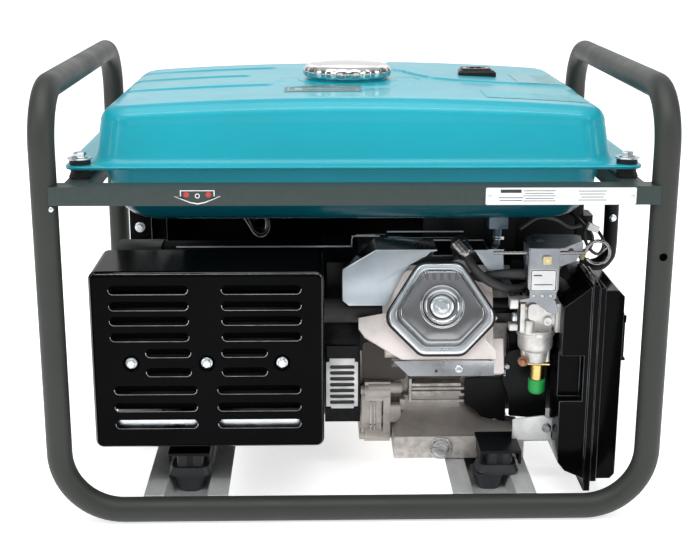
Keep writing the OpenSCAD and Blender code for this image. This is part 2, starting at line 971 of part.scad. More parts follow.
// ---------- assembly ----------
near_hoop();
far_hoop();
left_handle();
right_handle();
near_rail();
far_rail();
side_rails();
cross_members();
mount_feet();
mount_rubbers();
mount_brackets();
tank_top();
tank_bottom();
filler_neck();
fuel_cap();
fuel_gauge();
tank_bolts();
tank_grommets();
fuel_valve();
fuel_valve_lever();
crankcase();
crankcase_cover();
cylinder_head();
cover_gasket();
valve_cover();
engine_bolts();
head_shroud();
lower_baffle();
spark_plug();
plug_cap();
intake_flange();
carburettor();
fuel_bowl();
fuel_solenoid();
choke_shaft();
choke_rod();
control_bracket();
throttle_arm();
airbox_base();
airbox_cover();
filter_element();
near_latch();
far_latch();
fan_housing();
recoil_housing();
recoil_handle();
crankshaft();
flywheel();
rotor();
stator_housing();
vent_bell();
alternator_cover();
muffler();
heat_shield();
panel_box();
panel_fittings();
left_lid();
right_lid();
engine_switch();
dipstick();
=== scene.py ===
import bmesh
import bpy, json, math
from mathutils import Matrix, Vector

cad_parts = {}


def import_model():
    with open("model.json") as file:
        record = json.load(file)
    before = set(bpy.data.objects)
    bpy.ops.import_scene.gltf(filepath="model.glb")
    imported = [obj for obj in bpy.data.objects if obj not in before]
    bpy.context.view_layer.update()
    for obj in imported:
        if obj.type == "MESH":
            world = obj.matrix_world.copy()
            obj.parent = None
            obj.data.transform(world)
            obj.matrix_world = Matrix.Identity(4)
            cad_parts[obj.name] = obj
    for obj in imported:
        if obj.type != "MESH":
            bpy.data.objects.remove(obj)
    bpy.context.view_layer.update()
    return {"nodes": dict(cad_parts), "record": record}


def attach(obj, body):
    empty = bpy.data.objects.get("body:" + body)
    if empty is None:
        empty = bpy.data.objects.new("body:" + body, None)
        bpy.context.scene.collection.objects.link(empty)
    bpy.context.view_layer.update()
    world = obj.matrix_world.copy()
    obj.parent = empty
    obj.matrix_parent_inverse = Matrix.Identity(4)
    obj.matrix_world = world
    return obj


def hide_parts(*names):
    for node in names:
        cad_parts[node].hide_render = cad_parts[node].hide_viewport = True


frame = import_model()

MM = 0.001
NODES = frame["nodes"]
COL = bpy.context.scene.collection
pi = math.pi


# ------------------------------------------------------------------ materials
def mat(name, base, rough=0.5, metal=0.0, coat=0.0, var=0.08, vscale=18, rvar=0.08, bump=0.1, bscale=600,
        dist=0.0004, wear=None, wear_amt=0.35, stretch=(1, 1, 1), spec=0.5, dark=None, dark_amt=0.0,
        peel=0.0):
    """Painted, plated, cast or moulded surface: mottled colour and roughness, fine bump, worn edges."""
    m = bpy.data.materials.new(name)
    m.use_nodes = True
    nt = m.node_tree
    N, L = nt.nodes, nt.links
    bs = N["Principled BSDF"]
    tc = N.new("ShaderNodeTexCoord")
    mp = N.new("ShaderNodeMapping")
    mp.inputs["Scale"].default_value = stretch
    L.new(tc.outputs["Object"], mp.inputs["Vector"])

    def tex(scale, detail=4, rough_=0.55):
        t = N.new("ShaderNodeTexNoise")
        t.inputs["Scale"].default_value = scale
        t.inputs["Detail"].default_value = detail
        t.inputs["Roughness"].default_value = rough_
        L.new(mp.outputs["Vector"], t.inputs["Vector"])
        return t.outputs["Fac"]

    def rng(src, a, b, lo=0.3, hi=0.7):
        r = N.new("ShaderNodeMapRange")
        r.inputs["From Min"].default_value = lo
        r.inputs["From Max"].default_value = hi
        r.inputs["To Min"].default_value = a
        r.inputs["To Max"].default_value = b
        L.new(src, r.inputs["Value"])
        return r.outputs["Result"]

    def mix(fac, a, b):
        x = N.new("ShaderNodeMix")
        x.data_type = "RGBA"
        for k, v in ((0, fac), (6, a), (7, b)):
            if hasattr(v, "default_value") or isinstance(v, bpy.types.NodeSocket):
                L.new(v, x.inputs[k])
            else:
                x.inputs[k].default_value = v
        return x.outputs[2]

    c4 = lambda c, k=1.0: (min(c[0] * k, 1), min(c[1] * k, 1), min(c[2] * k, 1), 1)
    big = tex(vscale)
    fine = tex(bscale, 3)
    col = mix(rng(big, 0, 1), c4(base, 1 - var), c4(base, 1 + var))
    if dark is not None:
        grime = tex(vscale * 2.3, 8, 0.65)
        col = mix(rng(grime, 0, dark_amt, 0.45, 0.75), col, c4(dark))
    if wear is not None:
        geo = N.new("ShaderNodeNewGeometry")
        edge = rng(geo.outputs["Pointiness"], 0, wear_amt, 0.54, 0.66)
        mul = N.new("ShaderNodeMath")
        mul.operation = "MULTIPLY"
        L.new(edge, mul.inputs[0])
        L.new(rng(tex(vscale * 6, 6), 0, 1, 0.4, 0.6), mul.inputs[1])
        col = mix(mul.outputs[0], col, c4(wear))
    L.new(col, bs.inputs["Base Color"])
    L.new(rng(tex(vscale * 1.7, 5), max(rough - rvar, 0.02), min(rough + rvar, 1)), bs.inputs["Roughness"])
    bs.inputs["Metallic"].default_value = metal
    bs.inputs["Specular IOR Level"].default_value = spec
    bs.inputs["Coat Weight"].default_value = coat
    bs.inputs["Coat Roughness"].default_value = 0.06
    b = N.new("ShaderNodeBump")
    b.inputs["Strength"].default_value = bump
    b.inputs["Distance"].default_value = dist
    L.new(fine, b.inputs["Height"])
    if peel:
        b2 = N.new("ShaderNodeBump")
        b2.inputs["Strength"].default_value = peel
        b2.inputs["Distance"].default_value = 0.0006
        L.new(tex(90, 2), b2.inputs["Height"])
        L.new(b2.outputs["Normal"], b.inputs["Normal"])
    L.new(b.outputs["Normal"], bs.inputs["Normal"])
    return m


TEAL = mat("tank_enamel", (0.006, 0.315, 0.395), 0.36, coat=0.22, var=0.05, vscale=7, rvar=0.05, bump=0.03,
           bscale=900, peel=0.05, wear=(0.25, 0.6, 0.66), wear_amt=0.25, spec=0.3)
FRAME_P = mat("frame_powder_coat", (0.026, 0.030, 0.026), 0.48, var=0.05, vscale=12, rvar=0.06, bump=0.12,
              bscale=520, dist=0.0005, peel=0.10, spec=0.3)
RAIL_P = mat("rail_powder_coat", (0.033, 0.047, 0.045), 0.44, var=0.012, vscale=30, rvar=0.02, bump=0.06,
             bscale=520, dist=0.0005, wear=(0.05, 0.065, 0.062), wear_amt=0.2, spec=0.22)
ZINC = mat("zinc_plate", (0.62, 0.66, 0.68), 0.30, 1.0, var=0.10, vscale=22, rvar=0.12, bscale=420,
           dark=(0.35, 0.38, 0.40), dark_amt=0.35, wear=(0.85, 0.86, 0.86), wear_amt=0.5)
GALV = mat("galvanised_sheet", (0.66, 0.67, 0.67), 0.40, 0.55, var=0.10, vscale=30, rvar=0.14, bump=0.12,
           bscale=260, dark=(0.42, 0.43, 0.43), dark_amt=0.5, stretch=(1, 0.35, 1))
# zinc sheet of the shroud; also thin strips of it drawn as painted highlight lines
SHROUD_ZINC_AND_HIGHLIGHT = mat("shroud_zinc_sheet_and_painted_highlight", (0.74, 0.81, 0.87), 0.42, 0.55, var=0.06, vscale=16, rvar=0.12, bump=0.14,
             bscale=300, dark=(0.52, 0.60, 0.68), dark_amt=0.3)
# painted reflection: a darker mirror copy of the shroud zinc for the shroud's up-facing faces
ZINC_TOP_REFLECTION = mat("shroud_zinc_top_painted_reflection", (0.42, 0.46, 0.49), 0.16, 1.0, vscale=14, rvar=0.06, bump=0.06, bscale=300,
             dark=(0.3, 0.33, 0.36), dark_amt=0.3)
DULLZ = mat("dull_zinc", (0.25, 0.265, 0.285), 0.34, 1.0, var=0.14, vscale=26, rvar=0.12, bump=0.14,
            bscale=380, dark=(0.16, 0.18, 0.20), dark_amt=0.4, wear=(0.7, 0.72, 0.74), wear_amt=0.6)
DARKB = mat("dark_satin_block", (0.035, 0.037, 0.042), 0.4, spec=0.3, var=0.2, vscale=40, rvar=0.1,
            bump=0.2, bscale=500, wear=(0.15, 0.15, 0.15), wear_amt=0.4)
DARKM = mat("dark_plated_steel", (0.24, 0.23, 0.225), 0.2, 1.0, vscale=30, rvar=0.05, bump=0.02, bscale=400,
            wear=(0.5, 0.5, 0.5), wear_amt=0.4)
# painted highlight: a bright metal for the lips of the louvres and for thin lines on the stay plates
LIP_HIGHLIGHT = mat("louvre_lip_painted_highlight", (0.30, 0.30, 0.31), 0.16, 1.0, var=0.3, vscale=40, rvar=0.05, bump=0.02, bscale=300,
          dark=(0.06, 0.06, 0.06), dark_amt=0.6)
# painted highlight: a brighter metal copy of the air box black for its rounded edges
AIRBOX_HIGHLIGHT = mat("airbox_painted_highlight", (0.05, 0.052, 0.055), 0.16, 1.0, var=0.3, vscale=20, rvar=0.05, bump=0.02,
            bscale=300, dark=(0.01, 0.01, 0.01), dark_amt=0.7)
CASTL = mat("cast_alloy_head", (0.78, 0.72, 0.69), 0.5, 0.25, var=0.06, vscale=20, bump=0.35, bscale=420,
            dist=0.0006, dark=(0.42, 0.38, 0.36), dark_amt=0.25, wear=(0.86, 0.84, 0.82), wear_amt=0.5)
CAST = mat("cast_alloy", (0.50, 0.46, 0.425), 0.52, 0.45, var=0.12, vscale=20, rvar=0.10, bump=0.45,
           bscale=420, dist=0.0007, dark=(0.24, 0.215, 0.195), dark_amt=0.45, wear=(0.80, 0.78, 0.75),
           wear_amt=0.6)
CARB = mat("carburettor_alloy", (0.66, 0.65, 0.63), 0.46, 0.6, var=0.12, vscale=40, rvar=0.1, bump=0.35,
           bscale=700, dark=(0.2, 0.19, 0.18), dark_amt=0.4, wear=(0.8, 0.8, 0.78), wear_amt=0.6)
COVER = mat("cover_pressing", (0.42, 0.43, 0.44), 0.16, 1.0, var=0.03, vscale=14, rvar=0.03, bump=0.006,
            bscale=260, dark=(0.30, 0.30, 0.31), dark_amt=0.15)
RIM = mat("pressed_rim", (0.76, 0.80, 0.83), 0.30, 1.0, var=0.03, vscale=20, rvar=0.04, bump=0.006,
          bscale=300)
CASTD = mat("cast_alloy_shaded", (0.075, 0.066, 0.058), 0.6, 0.3, var=0.15, vscale=16, rvar=0.1, bump=0.25,
            bscale=420, dist=0.0005)
# painted shade: darker copies of the tank enamel for the pan, half dark at the flange and dark below it
TANK_PAN_HALF_SHADE = mat("tank_pan_wall_painted_shade", (0.001, 0.20, 0.26), 0.34, var=0.05, vscale=6, rvar=0.05, bump=0.03,
            bscale=300, peel=0.05, spec=0.15)
TANK_PAN_SHADE = mat("tank_pan_painted_shade", (0.001, 0.042, 0.057), 0.22, var=0.05, vscale=6, rvar=0.05, bump=0.03,
            bscale=300, peel=0.05, spec=0.2)
BAFFLE = mat("baffle_zinc", (0.40, 0.42, 0.44), 0.34, 0.9, vscale=20, rvar=0.1, bscale=300,
             wear=(0.7, 0.72, 0.74), wear_amt=0.6)
CHROME = mat("chrome_cap", (0.62, 0.62, 0.615), 0.08, 1.0, var=0.03, vscale=14, rvar=0.03, bump=0.02,
             bscale=260)
GLOSS = mat("gloss_black_enamel", (0.0018, 0.0019, 0.0022), 0.12, spec=0.03, var=0.25, vscale=9, rvar=0.04,
            bump=0.03, bscale=300, peel=0.05, wear=(0.03, 0.03, 0.032), wear_amt=0.4)
# painted highlight: a brighter metal copy of the black enamel, put on folds, rounded edges, a cable and thin
# strips so that they shine
BLACK_HIGHLIGHT = mat("gloss_black_painted_highlight", (0.085, 0.088, 0.092), 0.16, 1.0, var=0.25, vscale=14, rvar=0.05,
             bump=0.03, bscale=300, peel=0.05, dark=(0.03, 0.03, 0.032), dark_amt=0.7)
BLACK = mat("black_steel", (0.005, 0.0055, 0.0065), 0.36, spec=0.14, vscale=20, rvar=0.05, bump=0.08,
            bscale=500, wear=(0.02, 0.02, 0.021), wear_amt=0.3)
STATOR = mat("stator_black", (0.004, 0.004, 0.0045), 0.6, spec=0.05, vscale=20, rvar=0.05, bump=0.06,
             bscale=500, wear=(0.010, 0.010, 0.010), wear_amt=0.2)
PLASTIC = mat("moulded_black", (0.010, 0.0105, 0.011), 0.42, spec=0.25, var=0.12, vscale=24, rvar=0.07,
              bump=0.25, bscale=1400, dist=0.0003, wear=(0.06, 0.06, 0.06), wear_amt=0.3)
GLOSSP = mat("airbox_gloss_black", (0.0020, 0.0022, 0.0024), 0.13, spec=0.045, var=0.2, vscale=12,
             rvar=0.04, bump=0.04, bscale=300, peel=0.08)
RUBBER = mat("black_rubber", (0.014, 0.014, 0.014), 0.66, var=0.18, vscale=30, rvar=0.1, bump=0.3,
             bscale=900, dark=(0.05, 0.05, 0.048), dark_amt=0.15, spec=0.35)
HOSE = mat("hose_rubber", (0.035, 0.034, 0.033), 0.5, var=0.15, vscale=30, bump=0.2, bscale=900, spec=0.45)
FUEL = mat("fuel_hose_blue", (0.055, 0.10, 0.14), 0.3, var=0.1, vscale=30, rvar=0.06, coat=0.3)
BRASS = mat("plated_brass", (0.62, 0.44, 0.15), 0.28, 1.0, var=0.1, vscale=50, bump=0.12, bscale=700,
            wear=(0.85, 0.7, 0.4), wear_amt=0.5)
GREEN = mat("green_cap", (0.015, 0.38, 0.075), 0.4, var=0.1, vscale=60, rvar=0.06, bump=0.15, bscale=900)
RED = mat("red_moulding", (0.42, 0.028, 0.02), 0.35, var=0.1, vscale=40, rvar=0.06, bump=0.12, bscale=900)
STEEL = mat("machined_steel", (0.46, 0.46, 0.46), 0.3, 1.0, var=0.12, vscale=40, rvar=0.1, bump=0.15,
            bscale=500, stretch=(1, 6, 6))
CORE = mat("rotor_core", (0.30, 0.15, 0.08), 0.5, 0.6, var=0.2, vscale=30, rvar=0.1, bump=0.4, bscale=300,
           stretch=(8, 1, 1))
HOT = mat("heat_tinted_steel", (0.032, 0.028, 0.026), 0.5, 0.4, var=0.3, vscale=12, rvar=0.15, bump=0.2,
          bscale=300, dark=(0.05, 0.05, 0.08), dark_amt=0.5)
CERAM = mat("glazed_ceramic", (0.75, 0.74, 0.70), 0.2, var=0.05, vscale=60, rvar=0.04, bump=0.05,
            bscale=500)
FOAM = mat("oiled_foam", (0.42, 0.33, 0.12), 0.9, var=0.25, vscale=60, bump=1.0, bscale=260, dist=0.002,
           dark=(0.12, 0.08, 0.03), dark_amt=0.6)
# silver plates; also thin strips of it drawn as painted highlight lines
SILVER_AND_HIGHLIGHT = mat("plate_silver_and_painted_highlight", (0.70, 0.72, 0.72), 0.34, 0.55, var=0.05, vscale=60, rvar=0.07, bump=0.06,
            bscale=400, stretch=(1, 8, 8))
WHITE = mat("white_print", (0.72, 0.73, 0.73), 0.4, var=0.05, vscale=60, rvar=0.05, bump=0.05, bscale=700)
DARKP = mat("dark_print", (0.045, 0.14, 0.16), 0.42, vscale=80, rvar=0.06, bump=0.05, bscale=700)
PALEP = mat("pale_print", (0.06, 0.36, 0.42), 0.42, vscale=80, rvar=0.06, bump=0.05, bscale=700)
GREYP = mat("grey_print", (0.14, 0.36, 0.39), 0.42, vscale=80, rvar=0.06, bump=0.05, bscale=700)
# black print; also a black sheet behind the grille slots as painted shade
INK_AND_SHADE = mat("black_print_and_painted_shade", (0.02, 0.02, 0.02), 0.45, var=0.1, vscale=60, rvar=0.05, bump=0.05, bscale=700)
GLASS = mat("smoked_lens", (0.03, 0.035, 0.04), 0.06, coat=1.0, var=0.1, vscale=30, rvar=0.02, bump=0.02,
            bscale=300)
DIAL = mat("dial_face", (0.66, 0.66, 0.62), 0.5, var=0.04, vscale=60, rvar=0.05, bump=0.04)
YELLOW = mat("cream_clip", (0.62, 0.55, 0.33), 0.4, vscale=60, rvar=0.06, bscale=800)


# ------------------------------------------------------------------ mesh helpers
def basis(origin, z, x=None):
    """Frame at origin (mm) whose z runs along z."""
    z = Vector(z).normalized()
    x = Vector(x) if x is not None else (Vector((1, 0, 0)) if abs(z.x) < 0.9 else Vector((0, 1, 0)))
    x = (x - z * x.dot(z)).normalized()
    y = z.cross(x)
    m = Matrix((x, y, z)).transposed().to_4x4()
    m.translation = Vector(origin)
    return m


def rrect(w, h, r, n=6, cx=0, cy=0):
    """Rectangle of w by h about (cx, cy), with corners of radius r."""
    pts = []
    for k, (sx, sy) in enumerate(((1, 1), (-1, 1), (-1, -1), (1, -1))):
        for i in range(n + 1):
            a = (k + i / n) * pi / 2
            pts.append((cx + sx * (w / 2 - r) + r * math.cos(a), cy + sy * (h / 2 - r) + r * math.sin(a)))
    return pts


def circle(r, n=24, cx=0, cy=0):
    """n points of a circle about (cx, cy)."""
    return [(cx + r * math.cos(2 * pi * i / n), cy + r * math.sin(2 * pi * i / n)) for i in range(n)]


def round_poly(pts, r, n=5):
    """Outline with every corner rounded to radius r (r may be a list)."""
    out = []
    m = len(pts)
    for i in range(m):
        rr = r[i] if isinstance(r, (list, tuple)) else r
        p0, p1, p2 = Vector(pts[i - 1]), Vector(pts[i]), Vector(pts[(i + 1) % m])
        a, b = (p0 - p1), (p2 - p1)
        la, lb = a.length, b.length
        a.normalize()
        b.normalize()
        ang = a.angle(b)
        t = min(rr / math.tan(ang / 2), la * 0.49, lb * 0.49)
        rr = t * math.tan(ang / 2)
        c = p1 + (a + b).normalized() * (rr / math.sin(ang / 2))
        s, e = p1 + a * t - c, p1 + b * t - c
        da = math.atan2(s.x * e.y - s.y * e.x, s.dot(e))
        for k in range(n + 1):
            q = k / n * da
            out.append((c.x + s.x * math.cos(q) - s.y * math.sin(q),
                        c.y + s.x * math.sin(q) + s.y * math.cos(q)))
    return out


def smooth_path(pts, step=4.0):
    """Catmull-Rom through pts (mm)."""
    P = [Vector(p) for p in pts]
    P = [P[0] * 2 - P[1]] + P + [P[-1] * 2 - P[-2]]
    out = []
    for i in range(1, len(P) - 2):
        n = max(2, int((P[i + 1] - P[i]).length / step))
        for k in range(n):
            t = k / n
            a, b, c, d = P[i - 1], P[i], P[i + 1], P[i + 2]
            out.append(0.5 * ((2 * b) + (c - a) * t + (2 * a - 5 * b + 4 * c - d) * t * t
                              + (3 * b - a - 3 * c + d) * t ** 3))
    out.append(P[-2])
    return out


def add_bevel(o, width, segs, angle):
    """Rounds the edges sharper than angle (degrees) by width (mm)."""
    b = o.modifiers.new("bevel", "BEVEL")
    b.width = width * MM
    b.segments = segs
    b.limit_method = "ANGLE"
    b.angle_limit = math.radians(angle)
    b.harden_normals = True
    return b


class Part:
    """One visible piece, built from many shapes in millimetres."""

    def __init__(self):
        self.v, self.f, self.m = [], [], []
        self.mats = []
        self.T = Matrix.Identity(4)
        self.cur = None

    def use(self, material):
        if material not in self.mats:
            self.mats.append(material)
        self.cur = self.mats.index(material)
        return self

    def at(self, m=None):
        self.T = m if m is not None else Matrix.Identity(4)
        return self

    def add(self, vs, fs):
        n = len(self.v)
        flip = self.T.to_3x3().determinant() < 0
        self.v += [self.T @ Vector(q) for q in vs]
        for f in fs:
            g = [i + n for i in f]
            self.f.append(g[::-1] if flip else g)
            self.m.append(self.cur or 0)
        return self

    def box(self, x0, x1, y0, y1, z0, z1):
        vs = [(x, y, z) for z in (z0, z1) for x, y in ((x0, y0), (x1, y0), (x1, y1), (x0, y1))]
        return self.add(vs, [(3, 2, 1, 0), (4, 5, 6, 7), (0, 1, 5, 4), (1, 2, 6, 5), (2, 3, 7, 6),
                             (3, 0, 4, 7)])

    def prism(self, pts, z0, z1, top=None):
        """Outline in the local XY plane, from z0 to z1; top may be a second outline."""
        n = len(pts)
        area = sum(pts[i - 1][0] * pts[i][1] - pts[i][0] * pts[i - 1][1] for i in range(n))
        if area < 0:
            pts = pts[::-1]
            top = top[::-1] if top else None
        top = top or pts
        vs = [(x, y, z0) for x, y in pts] + [(x, y, z1) for x, y in top]
        fs = [tuple(range(n - 1, -1, -1)), tuple(range(n, 2 * n))]
        fs += [(i, (i + 1) % n, (i + 1) % n + n, i + n) for i in range(n)]
        return self.add(vs, fs)

    def loft(self, rings, closed_ends=True, cap0=True, cap1=True):
        """Rings of equal counts, each a list of (x, y, z)."""
        n = len(rings[0])
        vs = [q for r in rings for q in r]
        fs = []
        for k in range(len(rings) - 1):
            for i in range(n):
                j = (i + 1) % n
                fs.append((k * n + i, k * n + j, (k + 1) * n + j, (k + 1) * n + i))
        if closed_ends and cap0:
            fs.append(tuple(range(n - 1, -1, -1)))
        if closed_ends and cap1:
            fs.append(tuple(range((len(rings) - 1) * n, len(rings) * n)))
        return self.add(vs, fs)

    def lathe(self, prof, n=48):
        """prof: (r, z) pairs from the axis, round the outside and back; spun about local z."""
        vs, fs, rows = [], [], []
        for r, z in prof:
            if r < 1e-6:
                rows.append([len(vs)])
                vs.append((0, 0, z))
            else:
                rows.append(list(range(len(vs), len(vs) + n)))
                vs += [(r * math.cos(2 * pi * i / n), r * math.sin(2 * pi * i / n), z) for i in range(n)]
        for a, b in zip(rows, rows[1:]):
            for i in range(n):
                j = (i + 1) % n
                if len(a) == 1 and len(b) == 1:
                    continue
                if len(a) == 1:
                    fs.append((a[0], b[j], b[i]))
                elif len(b) == 1:
                    fs.append((a[i], a[j], b[0]))
                else:
                    fs.append((a[i], a[j], b[j], b[i]))
        return self.add(vs, fs)

    def cyl(self, r, z0, z1, n=32, c=0.0):
        """Cylinder along local z with chamfer c at both ends."""
        if c:
            return self.lathe([(0, z0), (r - c, z0), (r, z0 + c), (r, z1 - c), (r - c, z1), (0, z1)], n)
        return self.lathe([(0, z0), (r, z0), (r, z1), (0, z1)], n)

    def ring(self, r0, r1, z0, z1, n=48, c=0.0):
        """Tube wall: inner r0, outer r1."""
        prof = [(r0, z0), (r1 - c, z0), (r1, z0 + c), (r1, z1 - c), (r1 - c, z1), (r0, z1)]
        vs, fs = [], []
        k = len(prof)
        for i in range(n):
            a = 2 * pi * i / n
            vs += [(r * math.cos(a), r * math.sin(a), z) for r, z in prof]
        for i in range(n):
            j = (i + 1) % n
            for q in range(k):
                w = (q + 1) % k
                fs.append((i * k + q, j * k + q, j * k + w, i * k + w))
        return self.add(vs, fs)

    def sweep(self, path, r, n=12):
        """Round section of radius r along a path of points in mm."""
        P = [Vector(q) for q in path]
        m = len(P)
        T = []
        for i in range(m):
            T.append((P[min(i + 1, m - 1)] - P[max(i - 1, 0)]).normalized())
        u = T[0].orthogonal().normalized()
        rings = []
        for i in range(m):
            u = (u - T[i] * u.dot(T[i])).normalized()
            w = T[i].cross(u)
            rings.append([tuple(P[i] + (u * c + w * s) * r) for c, s in circle(1, n)])
        return self.loft(rings)

    def bolt(self, r=7, h=5, washer=None, flange=0.0, dome=0.4):
        """Hex head standing on local z = 0, with a washer under it."""
        z = 0.0
        if washer:
            self.lathe([(0, z), (washer, z), (washer, z + 1.3), (washer - 0.5, z + 1.6), (0, z + 1.6)], 32)
            z += 1.6
        if flange:
            self.lathe([(0, z), (flange, z), (flange, z + 0.9), (r * 0.86, z + 1.9), (0, z + 1.9)], 32)
        hexa = [(math.cos(pi / 3 * i + 0.3) * r, math.sin(pi / 3 * i + 0.3) * r) for i in range(6)]
        k = 0.86
        self.prism(hexa, z, z + h - 0.8)
        self.prism(hexa, z + h - 0.8, z + h, [(x * k, y * k) for x, y in hexa])
        self.lathe([(0, z + h - dome), (r * 0.55, z + h - dome), (r * 0.55, z + h + 0.05),
                    (r * 0.62, z + h + 0.05),
                    (r * 0.62, z + h - dome - 0.3), (0, z + h - dome - 0.3)], 20)
        return self

    def plate(self, loops, z0, z1, edge=0.25):
        """Flat sheet in local XY with holes: the first loop is the outside."""
        cu = bpy.data.curves.new("tmp", "CURVE")
        cu.dimensions = "2D"
        cu.fill_mode = "BOTH"
        cu.extrude = max((z1 - z0) / 2 - edge, 0.001)
        cu.bevel_depth = edge
        cu.bevel_resolution = 1
        cu.offset = -edge
        for lp in loops:
            sp = cu.splines.new("POLY")
            sp.points.add(len(lp) - 1)
            for q, (x, y) in zip(sp.points, lp):
                q.co = (x, y, 0, 1)
            sp.use_cyclic_u = True
        ob = bpy.data.objects.new("tmp", cu)
        me = bpy.data.meshes.new_from_object(ob)
        zc = (z0 + z1) / 2
        self.add([(v.co.x, v.co.y, v.co.z + zc) for v in me.vertices],
                 [tuple(p.vertices) for p in me.polygons])
        bpy.data.objects.remove(ob)
        bpy.data.curves.remove(cu)
        bpy.data.meshes.remove(me)
        return self

    def done(self, name, body="frame", slot=None, replaces=(), bevel=0.0, segs=2, angle=28):
        """Makes the Blender object: rides it on its body, and bevels it or marks its sharp edges."""
        me = bpy.data.meshes.new(name)
        me.from_pydata([tuple(v * MM) for v in self.v], [], self.f)
        me.validate()
        for m in self.mats:
            me.materials.append(m)
        if len(me.polygons) == len(self.m):
            me.polygons.foreach_set("material_index", self.m)
        me.polygons.foreach_set("use_smooth", [True] * len(me.polygons))
        o = bpy.data.objects.new(name, me)
        COL.objects.link(o)
        if not bevel:
            me.set_sharp_from_angle(angle=math.radians(angle))
        if bevel:
            add_bevel(o, bevel, segs, angle)
        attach(o, body)
        if replaces:
            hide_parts(*([replaces] if isinstance(replaces, str) else replaces))
        return o


def ax(x, y, z, d, side=None):
    """Local frame at (x, y, z) mm with its z along d, and its x along side."""
    return basis((x, y, z), d, side)


def facing_front(y):
    """Drawing plane at y that faces the front: a drawn point (a, b) is x = a, z = b."""
    return Matrix(((1, 0, 0, 0), (0, 0, -1, y), (0, 1, 0, 0), (0, 0, 0, 1)))


# ------------------------------------------------------------------ camera, light, floor
IMAGE_W = 700                             # picture width in pixels
FOCAL = 1288.5                            # focal length in pixels
CAMERA_AT = (-0.043, -1.583, 0.652)       # metres
CAMERA_TURN = (1.58, 15.39, 0.19)         # yaw to the right, pitch down and roll, degrees

sc = bpy.context.scene
cam = bpy.data.cameras.new("camera")
cam.sensor_width = 36
cam.lens = cam.sensor_width * FOCAL / IMAGE_W
cam.clip_end = 50
co = bpy.data.objects.new("camera", cam)
COL.objects.link(co)
yaw, pitch, roll = (math.radians(a) for a in CAMERA_TURN)
fwd = Vector((math.sin(yaw) * math.cos(pitch), math.cos(yaw) * math.cos(pitch), -math.sin(pitch)))
rt = Vector((math.cos(yaw), -math.sin(yaw), 0))
up = rt.cross(fwd)
r2 = rt * math.cos(roll) + up * math.sin(roll)
u2 = -rt * math.sin(roll) + up * math.cos(roll)
M = Matrix((r2, u2, -fwd)).transposed().to_4x4()
M.translation = Vector(CAMERA_AT)
co.matrix_world = M
sc.camera = co

w = bpy.data.worlds.new("world")
sc.world = w
w.use_nodes = True
wn = w.node_tree
bg = wn.nodes["Background"]
tcw = wn.nodes.new("ShaderNodeTexCoord")
sep = wn.nodes.new("ShaderNodeSeparateXYZ")
rmp = wn.nodes.new("ShaderNodeValToRGB")
wn.links.new(tcw.outputs["Generated"], sep.inputs[0])


def world_range(source, lo, hi, smooth=True):
    """Value of a socket mapped from lo..hi to 0..1."""
    r = wn.nodes.new("ShaderNodeMapRange")
    if smooth:
        r.interpolation_type = "SMOOTHSTEP"
    r.inputs["From Min"].default_value = lo
    r.inputs["From Max"].default_value = hi
    wn.links.new(source, r.inputs["Value"])
    return r.outputs["Result"]


wn.links.new(world_range(sep.outputs["Z"], -1, 1, smooth=False), rmp.inputs["Fac"])
for pos, k in ((0.5, 0.16), (0.74, 0.24), (0.9, 0.7)):
    rmp.color_ramp.elements.new(pos).color = (k, k, k * 1.03, 1)
rmp.color_ramp.elements[0].color = (0.16, 0.16, 0.165, 1)
rmp.color_ramp.elements[-1].color = (1.0, 1.0, 1.0, 1)
both = wn.nodes.new("ShaderNodeMath")     # pale backdrop behind the object, fading out upwards
both.operation = "MULTIPLY"
wn.links.new(world_range(sep.outputs["Y"], 0.30, 0.90), both.inputs[0])
wn.links.new(world_range(sep.outputs["Z"], 0.62, 0.25), both.inputs[1])
mixw = wn.nodes.new("ShaderNodeMix")
mixw.data_type = "RGBA"
mixw.inputs[7].default_value = (0.95, 0.95, 0.95, 1)
wn.links.new(both.outputs[0], mixw.inputs[0])
wn.links.new(rmp.outputs["Color"], mixw.inputs[6])
wn.links.new(mixw.outputs[2], bg.inputs["Color"])
bg.inputs["Strength"].default_value = 1.0
sc.view_settings.view_transform = "Standard"
sc.view_settings.look = "None"
sc.view_settings.exposure = 0.0


def light(name, loc, target, size, power, sizey):
    """Soft rectangular light at loc that faces target; metres and watts."""
    d = bpy.data.lights.new(name, "AREA")
    d.shape = "RECTANGLE"
    d.size, d.size_y = size, sizey
    d.energy = power
    o = bpy.data.objects.new(name, d)
    COL.objects.link(o)
    o.location = loc
    o.rotation_euler = (Vector(target) - Vector(loc)).to_track_quat("-Z", "Y").to_euler()


light("key_top", (-0.3, -0.6, 2.6), (0, 0, 0.3), 2.6, 34, 2.0)
light("strip_top", (0.0, -1.15, 2.1), (0, -0.2, 0.3), 2.4, 12, 0.14)
light("left_soft", (-2.4, -1.6, 1.3), (0, 0, 0.25), 1.6, 22, 1.4)
light("right_soft", (2.4, -1.4, 1.2), (0, 0, 0.25), 1.4, 18, 1.4)
light("back_rim", (0.2, 2.3, 1.6), (0, 0, 0.3), 2.4, 8, 1.2)
light("front_fill", (0.1, -2.9, 0.9), (0, 0, 0.25), 1.8, 5, 0.9)

